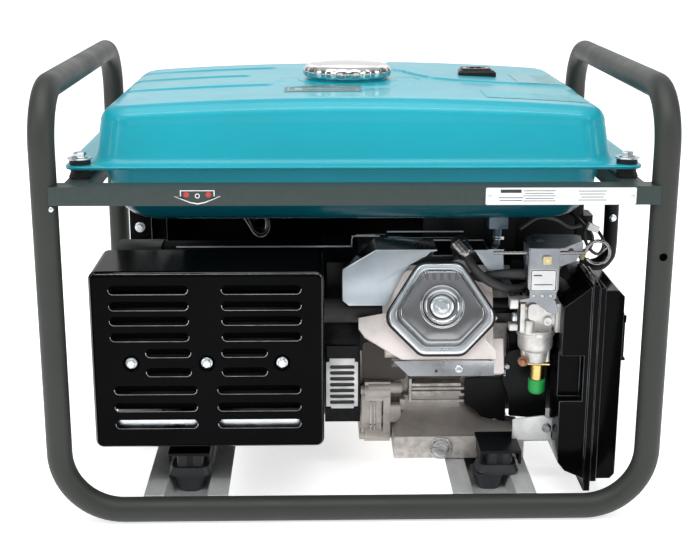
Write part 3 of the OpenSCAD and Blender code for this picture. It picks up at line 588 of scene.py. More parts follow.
fm = bpy.data.materials.new("studio_floor")
fm.use_nodes = True
fn = fm.node_tree
fb = fn.nodes["Principled BSDF"]
fb.inputs["Base Color"].default_value = (0.93, 0.93, 0.93, 1)
fb.inputs["Roughness"].default_value = 0.7
fb.inputs["Specular IOR Level"].default_value = 0.2
fb.inputs["Emission Color"].default_value = (1, 1, 1, 1)
fb.inputs["Emission Strength"].default_value = 0.62
nz = fn.nodes.new("ShaderNodeTexNoise")
nz.inputs["Scale"].default_value = 40
bp = fn.nodes.new("ShaderNodeBump")
bp.inputs["Strength"].default_value = 0.02
fn.links.new(nz.outputs["Fac"], bp.inputs["Height"])
fn.links.new(bp.outputs["Normal"], fb.inputs["Normal"])
fv, ff = [], []
NS = 48
for ring_r in (0.0, 2.0, 6.0, 14.0, 42.0):
    for i in range(NS):
        a = 2 * pi * i / NS
        fv.append((ring_r * math.cos(a), ring_r * math.sin(a), 0.0))
for k in range(4):
    for i in range(NS):
        j = (i + 1) % NS
        ff.append((k * NS + i, k * NS + j, (k + 1) * NS + j, (k + 1) * NS + i))
fme = bpy.data.meshes.new("floor")
fme.from_pydata(fv, [], ff)
fme.validate()
fme.materials.append(fm)
floor = bpy.data.objects.new("floor", fme)
COL.objects.link(floor)

# ------------------------------------------------------------------ fuel tank
TZ = 397.0          # seam height
TT = 467.0          # top of the upper shell


def seg_d(px, py, ax_, ay_, bx_, by_):
    """Distance of a point from a line segment."""
    dx, dy = bx_ - ax_, by_ - ay_
    t = max(0, min(1, ((px - ax_) * dx + (py - ay_) * dy) / (dx * dx + dy * dy)))
    return math.hypot(px - ax_ - t * dx, py - ay_ - t * dy)


def sstep(a, b, x):
    """Smooth step from 0 at a to 1 at b."""
    t = max(0.0, min(1.0, (x - a) / (b - a)))
    return t * t * (3 - 2 * t)


# grooves pressed in the left part, as segments, and the edge of the raised field at the far right
RIBS = (((-290, 122), (-103, 124)), ((-290, 42), (-134, 44)), ((-290, -58), (-104, -56)))
STEP_LINE = [(46, 110), (56, 90), (69, 72), (81, 40), (101, 6), (122, -8), (170, -16), (240, -20), (300, -24)]


def emboss(x, y):
    """Height of the pressed grooves, ring and step above the plain tank top."""
    z = 0.0
    for (a, b) in RIBS:
        d = seg_d(x, y, a[0], a[1], b[0], b[1])
        z -= 2.4 * (1 - sstep(7.0, 13.5, d))
    r = math.hypot(x + 4, y + 15)
    z += 1.6 * (1 - sstep(80, 88, r))
    lim = None
    for (a, b) in zip(STEP_LINE, STEP_LINE[1:]):
        if a[0] <= x <= b[0]:
            t = (x - a[0]) / (b[0] - a[0])
            lim = a[1] + (b[1] - a[1]) * t
    if x < STEP_LINE[0][0]:
        lim = 1e3
    if x > STEP_LINE[-1][0]:
        lim = STEP_LINE[-1][1]
    z += 2.2 * sstep(-4, 4, y - lim) * sstep(-6, 8, x - 52)
    fade = sstep(0, 16, min(284 - abs(x), 205 - abs(y)))
    return z * fade


def crown(x, z):
    """The top pressing is crowned along its length: its ends lie lower than its middle."""
    return 10 * (x / 275) ** 2 * max(0.0, min(1.0, (z - 403) / 64))


def tank_ring(hw, hd, r, z, seg, n=20):
    """Rounded rectangle ring with extra points along the straights."""
    out = []
    sx, sy = seg
    cs = ((hw - r, hd - r, 0), (-(hw - r), hd - r, 1), (-(hw - r), -(hd - r), 2), (hw - r, -(hd - r), 3))
    for k, (cx, cy, q) in enumerate(cs):
        for i in range(n + 1):
            a = (q + i / n) * pi / 2
            out.append((cx + r * math.cos(a), cy + r * math.sin(a), z))
        nx = cs[(k + 1) % 4]
        m = sx if k in (0, 2) else sy
        a1 = (q + 1) * pi / 2
        p0 = (cx + r * math.cos(a1), cy + r * math.sin(a1))
        p1 = (nx[0] + r * math.cos(a1), nx[1] + r * math.sin(a1))
        for i in range(1, m):
            t = i / m
            out.append((p0[0] + (p1[0] - p0[0]) * t, p0[1] + (p1[1] - p0[1]) * t, z))
    return out


def tank_upper():
    P = Part().use(TEAL)
    seg = (150, 104)
    R = []
    # flange edge, hemmed
    for hw, hd, r, z in ((310.2, 224.2, 15, TZ), (311, 225, 16, TZ + 0.5), (311, 225, 16, TZ + 1.6),
                         (310.2, 224.2, 15.4, TZ + 2.2), (304, 218, 14, TZ + 2.4), (292, 213, 22, TZ + 2.2),
                         (288.0, 209.5, 30, TZ + 3.0), (285.2, 207.2, 33, TZ + 5.2),
                         (283.6, 205.6, 34, TZ + 9)):
        R.append(tank_ring(hw, hd, r, z, seg))
    rs = 21.0
    hw0, hd0 = 283.4, 205.4
    zt = TT - rs
    for k in range(1, 9):
        t = k / 8
        z = TZ + 9 + (zt - TZ - 9) * t
        R.append(tank_ring(hw0 - 4.2 * t, hd0 - 11.0 * t, 34, z, seg))
    hw1, hd1 = hw0 - 4.2, hd0 - 11.0
    for k in range(1, 11):
        a = k / 10 * pi / 2
        inset = rs * (1 - math.cos(a))
        R.append(tank_ring(hw1 - inset, hd1 - inset, max(34 - inset, 8), zt + rs * math.sin(a), seg))
    hw2, hd2 = hw1 - rs, hd1 - rs
    n = 66
    for k in range(1, n + 1):
        t = k / n
        r = 13 + (2 - 13) * t
        hw, hd = hw2 - (hd2 - 2) * t, hd2 - (hd2 - 2) * t
        R.append(tank_ring(hw, max(hd, 2.01), min(r, hd, hw), TT, seg))
    out = []
    for i, ring in enumerate(R):
        if i >= 17:
            ring = [(x, y, z + emboss(x, y)) for x, y, z in ring]
        out.append([(x, y, z - crown(x, z)) for x, y, z in ring])
    P.loft(out, cap0=False)
    # underside of the flange
    P.loft([tank_ring(276, 200, 30, TZ, seg), tank_ring(310.2, 224.2, 15, TZ, seg)], closed_ends=False)
    P.done("fuel_tank_upper", slot="tank_paint", replaces="tank_top", angle=60)


def tank_lower():
    P = Part().use(TANK_PAN_SHADE)
    R = []
    seg = (60, 44)
    for hw, hd, r, z in ((276, 200, 34, TZ), (310.4, 224.4, 15, TZ), (310.8, 224.8, 15.6, TZ - 0.6),
                         (310.4, 224.4, 15, TZ - 1.3), (288, 208, 26, TZ - 1.6), (280, 201.5, 36, TZ - 3.5),
                         (276.5, 198.6, 40, TZ - 8)):
        R.append(tank_ring(hw, hd, r, z, seg))
    depth = 70.0
    for k in range(1, 15):
        a = k / 14 * pi / 2
        inset = 46 * (1 - math.cos(a))
        R.append(tank_ring(275 - 2 - inset, 198 - 2 - inset, max(42 - inset * 0.6, 12),
                           TZ - 14 - (depth - 14) * math.sin(a), seg))
    for k in range(1, 5):
        R.append(tank_ring(226 - 50 * k, 149 - 34 * k, 13 - 2.5 * k, TZ - depth, seg))
    R.reverse()
    # painted shade: the pan is in a dark copy of the tank enamel, and the flange with the top of its wall in
    # a half-dark one
    P.loft(R[:-9], cap1=False)
    P.use(TANK_PAN_HALF_SHADE).loft(R[-10:], closed_ends=False)
    P.done("fuel_tank_lower", slot="tank_paint", replaces="tank_bottom", angle=50)


tank_upper()
tank_lower()

P = Part().use(TEAL).at(ax(-4, -15, 0, (0, 0, 1)))
P.lathe([(38, TT + 13.5), (39, TT + 14.4), (45, TT + 14.4), (46, TT + 13.4), (46, TT + 6), (47.5, TT + 2.4),
         (54, TT + 1.7), (60, TT + 1.5), (60, TT - 1), (38, TT - 1), (38, TT + 13.5)], 72)
P.done("filler_neck_pressed", slot="tank_paint", replaces="filler_neck", angle=40)

# scalloped chrome cap with a folded rim
P = Part().use(CHROME).at(ax(-4, -15, 0, (0, 0, 1)))
nseg = 240
prof = [(46.6, 5.4), (50.2, 5.0), (51.6, 5.9), (52.2, 7.5), (52.3, 12.5), (51.9, 14.8), (50.4, 17.0),
        (47.6, 18.6),
        (44.4, 19.3), (43.4, 19.5), (42.6, 19.2), (41.6, 19.3), (30, 20.2), (15, 20.9), (4, 21.2)]
vs, fs = [], []
for i in range(nseg):
    a = 2 * pi * i / nseg
    for r, z in prof:
        sc_ = 0.0
        if r > 46 and 5.2 < z < 18:
            sc_ = 0.9 * math.cos(24 * a) * min(1.0, (z - 5.2) / 1.5) * sstep(18, 14, z)
            sc_ = max(sc_, -0.55)
        vs.append(((r + sc_) * math.cos(a), (r + sc_) * math.sin(a), TT + z))
k = len(prof)
for i in range(nseg):
    j = (i + 1) % nseg
    for q in range(k - 1):
        fs.append((i * k + q, j * k + q, j * k + q + 1, i * k + q + 1))
vs.append((0, 0, TT + 21.25))
for i in range(nseg):
    j = (i + 1) % nseg
    fs.append((i * k + k - 1, j * k + k - 1, len(vs) - 1))
P.add(vs, fs)
P.lathe([(46.6, TT + 5.4), (46.6, TT + 14.6), (0, TT + 14.8)], 72)
P.use(PLASTIC).lathe([(0, TT + 7), (32, TT + 7), (32, TT + 12.5), (35.8, TT + 12.5), (35.8, TT + 5.5),
                      (33, TT + 5.2)],
                     48)
P.done("fuel_cap_chrome", "fuel_cap", "chrome", "fuel_cap", angle=40)

# gauge
P = Part().use(PLASTIC).at(ax(160, 52, -3.4, (0, 0, 1)))
base = round_poly([(-24, -21), (24, -21), (20, 21), (-20, 21)], 3)
P.prism(base, TT + 0.2, TT + 6.5)
P.prism([(x * 0.98, y * 0.98) for x, y in base], TT + 6.5, TT + 9.0,
        [(x * 0.86, y * 0.84) for x, y in base])
P.plate([rrect(36, 30, 4), rrect(14, 18, 1.5)], TT + 8.6, TT + 10.6, 0.4)
P.use(GLASS).prism(rrect(14, 18, 1.5), TT + 8.7, TT + 9.6)
P.use(CHROME)
for sx in (-1, 1):
    P.at(ax(160 + sx * 14, 52, TT + 7.0, (0, 0, 1))).lathe([(0, 0), (2.4, 0), (2.2, 0.7), (0.9, 1.0),
                                                            (0.8, 0.6),
                                                            (0, 0.6)], 16)
P.use(RED).at(ax(160, 52, TT + 6.25, (0, 0, 1))).box(-1.0, 1.0, -8, 8, 0, 0.25)
P.done("fuel_gauge_moulded", slot="black_plastic", replaces="fuel_gauge", bevel=0.5, segs=2)

# plain printed labels lying on the tank top
def label(name, cx, cy, w_, h_, material, ink, lines, off=0.35):
    """Printed field on the tank top, with lines given as x0, x1, y0, y1 from its middle."""
    m = Matrix.Translation((cx, cy, 0))
    P = Part().at(m).use(material)
    nx, ny = max(2, int(w_ / 6)), max(2, int(h_ / 6))
    vs, fs = [], []
    for j in range(ny + 1):
        for i in range(nx + 1):
            x, y = -w_ / 2 + w_ * i / nx, -h_ / 2 + h_ * j / ny
            g = m @ Vector((x, y, 0))
            vs.append((x, y, TT + emboss(g.x, g.y) - crown(g.x, TT) + off))
    for j in range(ny):
        for i in range(nx):
            a = j * (nx + 1) + i
            fs.append((a, a + 1, a + nx + 2, a + nx + 1))
    P.add(vs, fs).use(ink)
    for (x0, x1, y0, y1) in lines:
        g = m @ Vector(((x0 + x1) / 2, (y0 + y1) / 2, 0))
        z = TT + emboss(g.x, g.y) - crown(g.x, TT) + off + 0.1
        P.add([(x0, y0, z), (x1, y0, z), (x1, y1, z), (x0, y1, z)], [(0, 1, 2, 3)])
    P.done(name, slot="tank_paint")


label("tank_label_a", -34, -104, 88, 48, DARKP, GREYP,
      [(-40, 40, 16, 18), (-40, 40, -18, -16), (-40, -38.6, -18, 18), (38.6, 40, -18, 18),
       (-32, -24, -9, 9), (-18, 30, -3, 3)])
label("tank_label_b", 204, -126, 112, 60, PALEP, GREYP,
      [(-50, 50, 22 - i * 7.2, 22.8 - i * 7.2) for i in range(7)])
label("tank_label_c", 232, 30, 56, 92, GREYP, DARKP,
      [(-25, 25, 40 - i * 8.6, 41 - i * 8.6) for i in range(10)])

# bolts, washers and rubber seats at the four corners
for sx in (-1, 1):
    for sy in (-1, 1):
        tag = ("l" if sx < 0 else "r") + ("n" if sy < 0 else "f")
        P = Part().use(RUBBER).at(ax(sx * 296, sy * 207, 0, (0, 0, 1)))
        P.lathe([(4, 385), (12.2, 385), (12.6, 386), (10.4, 391), (10.6, 394.8), (10, 395.5), (7.5, 395.5),
                 (7.5, 398.8), (10.8, 398.8), (11.4, 399.8), (11.4, 403.8), (10.6, 404.8), (4, 404.8)], 40)
        P.done("tank_seat_" + tag, slot="rubber")
        P = Part().use(ZINC).at(ax(sx * 296, sy * 207, 404.9, (0, 0, 1)))
        P.lathe([(4, 0), (13.2, 0), (13.5, 0.4), (13.5, 1.5), (13.0, 1.9), (4, 1.9)], 40)
        P.at(ax(sx * 296, sy * 207, 406.8, (0, 0, 1))).bolt(7.2, 5.6, washer=None, flange=8.6)
        P.at(ax(sx * 296, sy * 207, 0, (0, 0, 1))).cyl(4, 373, 405, 20, 0.6)
        P.prism([(math.cos(pi / 3 * i) * 7, math.sin(pi / 3 * i) * 7) for i in range(6)], 376, 382)
        P.done("tank_bolt_" + tag, slot="zinc", replaces=["tank_bolts", "tank_grommets"], bevel=0.3, segs=2)

# ------------------------------------------------------------------ carried-over nodes with softened edges
SLOT = {s["node"]: s["material_slot"] for s in frame["record"]["subparts"]}
BODY = {n: b for b, ns in frame["record"]["behaviour"]["bodies"].items() for n in ns}


def remake(node, material, bevel=0.5, segs=2, angle=32, dissolve=0.6, top=None, edge=None):
    """Copy of a CAD node with rounded edges; top is a second material for the faces that look up, used to
    paint a reflection, and edge one for the rounded edges, used to paint highlights.
    """
    bm = bmesh.new()
    bm.from_mesh(NODES[node].data)
    bmesh.ops.remove_doubles(bm, verts=bm.verts, dist=2e-6)
    bmesh.ops.dissolve_limit(bm, angle_limit=math.radians(dissolve), verts=bm.verts, edges=bm.edges)
    me = bpy.data.meshes.new(node + "_body")
    bm.to_mesh(me)
    bm.free()
    me.materials.clear()
    me.materials.append(material)
    me.polygons.foreach_set("material_index",
                            [int(top is not None and p.normal.z > 0.72) for p in me.polygons])
    if top is not None:
        me.materials.append(top)
    me.polygons.foreach_set("use_smooth", [True] * len(me.polygons))
    o = bpy.data.objects.new(node + "_body", me)
    COL.objects.link(o)
    if bevel:
        b = add_bevel(o, bevel, segs, angle)
        if edge is not None:
            me.materials.append(edge)
            b.material = len(me.materials) - 1
    else:
        me.set_sharp_from_angle(angle=math.radians(angle))
    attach(o, BODY[node])
    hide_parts(node)
    return o


for node in ("near_hoop", "far_hoop", "left_handle", "right_handle"):
    remake(node, FRAME_P, bevel=0.0)
for node in ("near_rail", "far_rail", "side_rails"):
    remake(node, RAIL_P, bevel=1.2, segs=3)
# material, width of the rounded edges in mm, their segments, and the nodes
FINISH = ((GALV, 1.2, 3, "cross_members"), (RUBBER, 1.5, 3, "mount_rubbers"),
          (BLACK, 0.7, 2, "mount_brackets"),
          (FUEL, 0.5, 2, "fuel_valve"), (BLACK, 0.6, 2, "fuel_valve_lever vent_bell"),
          (CAST, 1.0, 3, "crankcase"),
          (CAST, 1.2, 3, "crankcase_cover"), (CASTL, 0.8, 2, "cylinder_head"),
          (CERAM, 0.4, 2, "spark_plug"),
          (PLASTIC, 0.6, 2, "intake_flange panel_fittings dipstick"), (BLACK, 1.5, 3, "fan_housing"),
          (BLACK, 0.8, 2, "recoil_housing"), (PLASTIC, 0.8, 2, "recoil_handle left_lid right_lid"),
          (STEEL, 0.6, 2, "crankshaft flywheel"), (CORE, 0.6, 2, "rotor"),
          (STATOR, 0.8, 2, "stator_housing"),
          (PLASTIC, 1.2, 3, "alternator_cover"), (HOT, 0.8, 2, "muffler"), (RED, 0.8, 2, "engine_switch"),
          (FOAM, 2.0, 3, "filter_element"), (BLACK, 0.3, 2, "near_latch far_latch throttle_arm"),
          (BRASS, 0.3, 2, "choke_shaft"), (DARKM, 0.0, 2, "choke_rod"), (BAFFLE, 0.4, 2, "lower_baffle"),
          (CARB, 0.8, 2, "carburettor"))
for material, width, segs, nodes in FINISH:
    for node in nodes.split():
        remake(node, material, width, segs)
# painted highlight: the rounded edges of the panel box take the brighter metal copy of its black
remake("panel_box", GLOSS, 1.0, 3, edge=BLACK_HIGHLIGHT)
# painted reflection: the up-facing faces of the shroud take a darker mirror copy of its zinc
remake("head_shroud", SHROUD_ZINC_AND_HIGHLIGHT, 0.4, top=ZINC_TOP_REFLECTION)
# painted highlight: the rounded edges of the air box take a brighter metal copy of its black
for node in ("airbox_base", "airbox_cover"):
    remake(node, GLOSSP, 2.4, 4, edge=AIRBOX_HIGHLIGHT)

# ------------------------------------------------------------------ silencer shield
SX0, SX1, SY0, SZ0, SZ1 = -292.0, -34.0, -225.0, 77.0, 283.0
ROWS = [(z, ((-270, -183), (-146.5, -59))) for z in (208.9, 227.4, 244.6, 262.9)]
ROWS += [(z, ((-231.6, -181.6), (-147.4, -96.9))) for z in (167.9, 190.2)]
ROWS += [(z, ((-268, -176), (-153, -60))) for z in (106, 126.4, 146.7)]
SHIELD_BOLTS = ((-248.0, 178.0), (-164.4, 178.0), (-80.7, 178.0))


def pill(x0, x1, zc, h, n=10):
    """Slot with round ends, from x0 to x1, h high about zc."""
    r = h / 2
    pts = [(x1 - r + r * math.cos(a),
            zc + r * math.sin(a)) for a in [(-0.5 + i / n) * pi for i in range(n + 1)]]
    pts += [(x0 + r + r * math.cos(a),
             zc + r * math.sin(a)) for a in [(0.5 + i / n) * pi for i in range(n + 1)]]
    return pts


def shield():
    P = Part().use(GLOSS)
    cx, cz = (SX0 + SX1) / 2, (SZ0 + SZ1) / 2
    W, H = SX1 - SX0, SZ1 - SZ0
    f = 6.0         # radius of the fold round the front
    n = 8

    def ring(inset, y):
        return [(x, y, z) for x, z in rrect(W - 2 * inset, H - 2 * inset, max(9 - inset, 3.0), n, cx, cz)]
    P.loft([ring(1.4, -126), ring(0.0, -125), ring(0.0, -160), ring(0.0, -190)], closed_ends=False)
    rings = [ring(0.0, SY0 + f)]
    P.loft([ring(0.0, -190), rings[0]], closed_ends=False)
    for i in range(1, 8):
        a = i / 8 * pi / 2
        rings.append(ring(f * (1 - math.cos(a)), SY0 + f - f * math.sin(a)))
    rings.append(ring(f, SY0))
    P.loft(rings[:4], closed_ends=False)
    # painted highlight: the middle of the fold is in the brighter metal copy of the enamel
    P.use(BLACK_HIGHLIGHT).loft(rings[3:6], closed_ends=False)
    P.use(GLOSS).loft(rings[5:], closed_ends=False)
    P.at(facing_front(SY0 + 0.7))
    loops = [rrect(W - 2 * f + 0.6, H - 2 * f + 0.6, 3.2, n, cx, cz)]
    for zc, spans in ROWS:
        for x0, x1 in spans:
            loops.append(pill(x0, x1, zc, 10.2)[::-1])
    for bx, bz in SHIELD_BOLTS:
        loops.append(circle(9.5, 32, bx, bz)[::-1])
    P.plate(loops, 0.0, 0.7, 0.3)
    P.at()
    # louvre blades: each slopes in from the upper edge and stops short of the lower one
    for zc, spans in [r for r in ROWS if r[0] > 110]:
        for x0, x1 in spans:
            nu, nv = 30, 9
            vs, fs = [], []
            for j in range(nv):
                v = j / (nv - 1)
                zz = zc + 5.2 - 8.6 * v
                for i in range(nu):
                    u = i / (nu - 1)
                    x = x0 - 0.6 + (x1 - x0 + 1.2) * u
                    e = min(x - x0, x1 - x) / 5.0
                    e = 1 - (1 - max(min(e, 1), 0)) ** 2
                    d = 0.9 + 5.4 * math.sin(v * pi / 2) * e
                    vs.append((x, SY0 + d, zz))
            for j in range(nv - 1):
                for i in range(nu - 1):
                    a = j * nu + i
                    fs.append((a, a + nu, a + nu + 1, a + 1))
            P.add(vs, fs)
    # rolled lower lip of every slot, in a bright metal that paints the highlight along it
    P.use(LIP_HIGHLIGHT)
    for zc, spans in ROWS:
        for x0, x1 in spans:
            r = 5.1
            path = [(x0 + r + r * math.cos(a), SY0 + 0.1, zc + r * math.sin(a))
                    for a in [(0.96 + 0.54 * i / 8) * pi for i in range(9)]]
            path += [(x1 - r + r * math.cos(a), SY0 + 0.1, zc + r * math.sin(a))
                     for a in [(1.5 + 0.54 * i / 8) * pi for i in range(9)]]
            P.sweep(path, 0.5, 8)
    P.use(GLOSS)
    # dimples under the bolts
    for bx, bz in SHIELD_BOLTS:
        P.at(ax(bx, SY0 + 0.4, bz, (0, -1, 0)))
        P.lathe([(0, -3.4), (6.6, -3.4), (8.4, -2.6), (9.6, -0.4), (10.4, 0.3)], 40)
    P.done("silencer_shield", slot="black_gloss", replaces="heat_shield", angle=40)


shield()

P = Part().use(ZINC)
for x0, x1 in ROWS[-3][1]:
    P.prism(round_poly([(x0 - 4, -218), (x1 + 4, -218), (x1 + 4, -216.5), (x0 - 4, -216.5)], 0.4, 2), 99,
            109)
P.box(-172, -158, -218, -196, 100, 112)
P.done("silencer_foot_strip", slot="zinc", bevel=0.2, segs=2)
P = Part().use(ZINC)
for bx, bz in SHIELD_BOLTS:
    P.at(ax(bx, SY0 + 3.2, bz, (0, -1, 0)))
    P.lathe([(0, 0), (6.4, 0), (6.6, 0.4), (6.6, 1.2), (6.2, 1.7), (0, 1.7)], 32)
    P.at(ax(bx, SY0 + 1.6, bz, (0, -1, 0))).bolt(5.2, 4.6, flange=6.0, dome=0.7)
P.done("shield_bolts", slot="zinc", bevel=0.25, segs=2)

# ------------------------------------------------------------------ cylinder head side
BORE = (0, -0.9135, 0.4067)     # direction of the cylinder bore
CYL = basis((100, 0, 150), BORE, (1, 0, 0))
HEAD = [(-24, 50), (24, 50), (65, -14), (24, -55), (-24, -55), (-65, -14)]


def world(x, y, z):
    """Point of the tilted cylinder frame in the common frame, mm."""
    return CYL @ Vector((x, y, z))


def on_bore(x, y, z):
    """Local frame at a point of the cylinder frame, with its z along the bore."""
    return basis(world(x, y, z), BORE, (1, 0, 0))


def radial(poly, n, c=(0.0, -2.0)):
    """Outline resampled by angle about c, so that rings of different outlines match."""
    out = []
    m = len(poly)
    for k in range(n):
        a = 2 * pi * k / n
        dx, dy = math.cos(a), math.sin(a)
        best = None
        for i in range(m):
            x0, y0 = poly[i][0] - c[0], poly[i][1] - c[1]
            x1, y1 = poly[(i + 1) % m][0] - c[0], poly[(i + 1) % m][1] - c[1]
            ex_, ey_ = x1 - x0, y1 - y0
            den = dx * ey_ - dy * ex_
            if abs(den) < 1e-9:
                continue
            t = (x0 * ey_ - y0 * ex_) / den
            s = (x0 * dy - y0 * dx) / den
            if t > 0 and -1e-6 <= s <= 1 + 1e-6 and (best is None or t > best):
                best = t
        out.append((c[0] + dx * best, c[1] + dy * best))
    return out


def valve_cover():
    P = Part().use(RIM).at(CYL)
    n = 240

    def outline(inset):
        k = 1 - inset / 58
        return radial(round_poly([(x * k, y * k) for x, y in HEAD],
                                 [q * k for q in (15, 15, 17, 14, 14, 17)], 10), n)
    prof = [(1.2, 190.0), (0, 190.8), (-0.2, 192.2), (0.5, 193.8), (2.0, 194.8), (4.0, 195.0),
            (7.0, 194.6), (8.6, 193.6),
            (9.4, 192.4)]
    P.loft([[(x, y, z) for x, y in outline(i)] for i, z in prof], closed_ends=False)
    P.use(COVER)
    prof = [(9.2, 192.4), (9.8, 193.2), (10.3, 196), (10.9, 200), (11.4, 204.0), (12.0, 205.8),
            (13.0, 206.9),
            (14.4, 207.2), (15.2, 206.9)]
    rings = [[(x, y, z) for x, y in outline(i)] for i, z in prof]
    o1 = outline(15.2)
    c1 = circle(25.5, n, 0, -2)
    for t in (0.1, 0.3, 0.5, 0.7, 0.88, 1.0):
        rings.append([(a[0] + (b[0] - a[0]) * t, a[1] + (b[1] - a[1]) * t,
                       206.9 + 0.8 * math.sin(t * pi / 2))
                      for a, b in zip(o1, c1)])
    for r, z in ((25.2, 208.3), (24.4, 208.9), (23.4, 208.9), (22.6, 208.3), (21.6, 206.6), (19.5, 204.6),
                 (17, 203.5), (14.5, 203.2), (11, 203.2), (4, 203.2)):
        rings.append([(x, y, z) for x, y in circle(r, n, 0, -2)])
    P.loft(rings, closed_ends=False)
    # plain raised bars in place of lettering
    for i in range(-2, 3):
        x = i * 8.6
        pts = [(px + x, py) for px, py in rrect(4.4, 9.5, 1.8, 5, 0, 31.5)]
        P.prism(pts, 206.6, 208.4, [((px - x) * 0.8 + x, (py - 31.5) * 0.9 + 31.5) for px, py in pts])
    P.done("valve_cover_pressed", slot="bright_alloy", replaces="valve_cover", angle=40)
    # centre bolt with washer and seal
    P = Part().use(RUBBER).at(on_bore(0, -2, 203.0))
    P.lathe([(0, 0), (13.6, 0), (14.2, 0.8), (13.6, 2.0), (12.6, 2.2)], 48)
    P.use(RIM).lathe([(0, 2.0), (12.8, 2.0), (13.2, 2.6), (12.8, 3.6), (11.2, 4.4), (10.4, 4.2),
                      (9.6, 3.6), (0, 3.6)],
                     48)
    P.lathe([(0, 3.4), (8.6, 3.4), (8.9, 3.9), (8.6, 4.7), (0, 4.7)], 40)
    P.at(on_bore(0, -2, 207.4)).bolt(6.2, 5.6, flange=7.6, dome=1.0)
    P.done("cover_bolt", slot="zinc", bevel=0.25, segs=2)
    P = Part().use(RUBBER).at(CYL)
    P.loft([[(x, y, z) for x, y in outline(i)] for i, z in ((0, 187.6), (-2.4, 188.0), (-2.6, 189.8),
                                                            (0.5, 190.6))])
    P.done("cover_seal", slot="rubber", replaces="cover_gasket", angle=40)


valve_cover()
P = Part().use(STEEL).at(ax(106, -150, 43, (0, -1, 0)))
P.lathe([(0, 0), (13.6, 0), (14, 0.5), (14, 2.0), (13.2, 2.6), (0, 2.6)], 48)
P.at(ax(106, -152.6, 43, (0, -1, 0))).bolt(8.6, 6.0, flange=10.5, dome=1.4)
P.done("drain_plug", slot="zinc", replaces="engine_bolts", bevel=0.3, segs=2)

# ------------------------------------------------------------------ carburettor
P = Part().use(CARB).at(ax(212.8, -159, 0, (0, 0, 1)))
P.lathe([(0, 155), (9, 155), (12.5, 155.8), (14.8, 158), (15.8, 161.5), (16.3, 167), (16.6, 170.4),
         (18.4, 171.8),
         (19.9, 174), (20.4, 177), (20.5, 188.4), (21.0, 189.6), (22.2, 190), (22.5, 190.6), (22.5, 193.0),
         (21.9, 193.6), (21.9, 194.0), (22.5, 194.4), (22.5, 196.2), (22.0, 197.0), (0, 197.0)], 72)
P.box(-4, 4, -23.6, -20, 191.6, 195.4)
for a in (205, 335):
    P.at(ax(212.8 + 15.0 * math.cos(math.radians(a)), -159 + 15.0 * math.sin(math.radians(a)), 0,
            (0, 0, 1)))
    P.cyl(3.2, 157, 173.6, 20, 0.6)
P.done("float_bowl", slot="bright_alloy", replaces="fuel_bowl", angle=30)
P = Part().use(BRASS).at(ax(216.5, -159, 0, (0, 0, 1)))
P.prism(round_poly([(-17, -6), (14, -9), (17, -3), (12, 6), (-15, 7)], 2.5), 153.4, 154.9)
P.lathe([(0, 133), (7.6, 133), (8.0, 133.5), (8.0, 152.6), (7.4, 153.2), (0, 153.4)], 40)
P.use(GREEN)
P.lathe([(0, 116.2), (4, 116.0), (6.2, 116.4), (8.2, 117.4), (9.4, 119.2), (9.9, 121.4), (9.9, 131.0),
         (10.3, 132.2),
         (10.1, 133.6), (9.2, 134.2), (8.0, 134.2)], 48)
P.use(CORE).at(ax(197.5, -172, 160, (-0.35, -1, -0.15))).bolt(4.6, 4.5, washer=6.2, dome=0.8)
P.done("cutoff_solenoid", slot="brass", replaces="fuel_solenoid", angle=30)
# ------------------------------------------------------------------ engine dress-up
# steel-sleeved plug cap with its rubber elbow
P = Part().use(HOSE).at(basis(world(28, 58, 160.5), CYL.to_3x3() @ Vector((0.0, 1, 0.03)), (1, 0, 0)))
P.lathe([(5.2, 0), (9.6, 0), (10.4, 0.8), (10.4, 9), (9.4, 12), (9.2, 22), (8.4, 25.5), (5.5, 27.5),
         (0, 28.2)], 40)
P.at()
P.sweep(smooth_path([world(28, 70, 161), (127, -120, 288), (123, -131, 291), (123, -137, 289)]), 9.0, 24)
P.use(DARKM).at(basis((119.8, -133.5, 294), (0.62, -0.34, -0.71)))
P.lathe([(6.0, 0), (9.6, 0), (10.3, 0.7), (10.4, 6), (10.4, 17), (10.0, 19), (8.8, 21.5), (7.2, 23),
         (5.4, 23.4)], 44)
P.ring(10.2, 11.3, 4.0, 6.4, 44, 0.4)
P.ring(10.2, 11.0, 14.0, 15.6, 44, 0.3)
P.done("plug_boot", "frame", "rubber", "plug_cap", angle=35)
P = Part().use(HOSE)
P.sweep(smooth_path([(130, -139.5, 281.5), (134, -146, 275), (138.5, -153, 268.5), (144.5, -158.5, 262),
                     (155, -163, 254.5),
                     (166, -164, 249.5), (177, -162, 245.5), (190, -155, 243), (204, -143, 244),
                     (222, -122, 246),
                     (240, -100, 248), (252, -78, 252)], 3), 5.2, 20)
P.sweep(smooth_path([(128, -136, 255), (138, -141, 254.5), (150, -145, 253.5), (162, -149, 257),
                     (178, -152, 259.5),
                     (196, -155, 260), (214, -156, 259), (229, -155, 255), (240, -153, 249),
                     (246, -151, 242),
                     (250, -149, 236)], 3), 6.1, 20)
P.done("ignition_lead_and_breather", slot="rubber", angle=40)

# fuel hose from the valve to the float bowl, with two wire clips
path = smooth_path([(172, -105, 296), (171, -107, 286), (170, -114, 270), (176, -126, 252),
                    (186, -136, 236),
                    (192, -140, 214), (194, -143, 196)], 3)
P = Part().use(FUEL)
P.sweep(path, 4.2, 18)
P.use(ZINC)
for k, (q, d) in enumerate((((171.6, -105.6, 291.5), (0.05, 0.1, 1)),
                            ((193.2, -141.6, 204), (-0.1, 0.1, 1)))):
    P.at(basis(q, d)).ring(4.3, 5.2, -2.0, -0.9, 28, 0.2).ring(4.3, 5.2, 0.9, 2.0, 28,
                                                               0.2).box(4.6, 8.0, -1.6, 1.6, -1.8, 1.8)
P.done("fuel_hose", slot="rubber", angle=40)

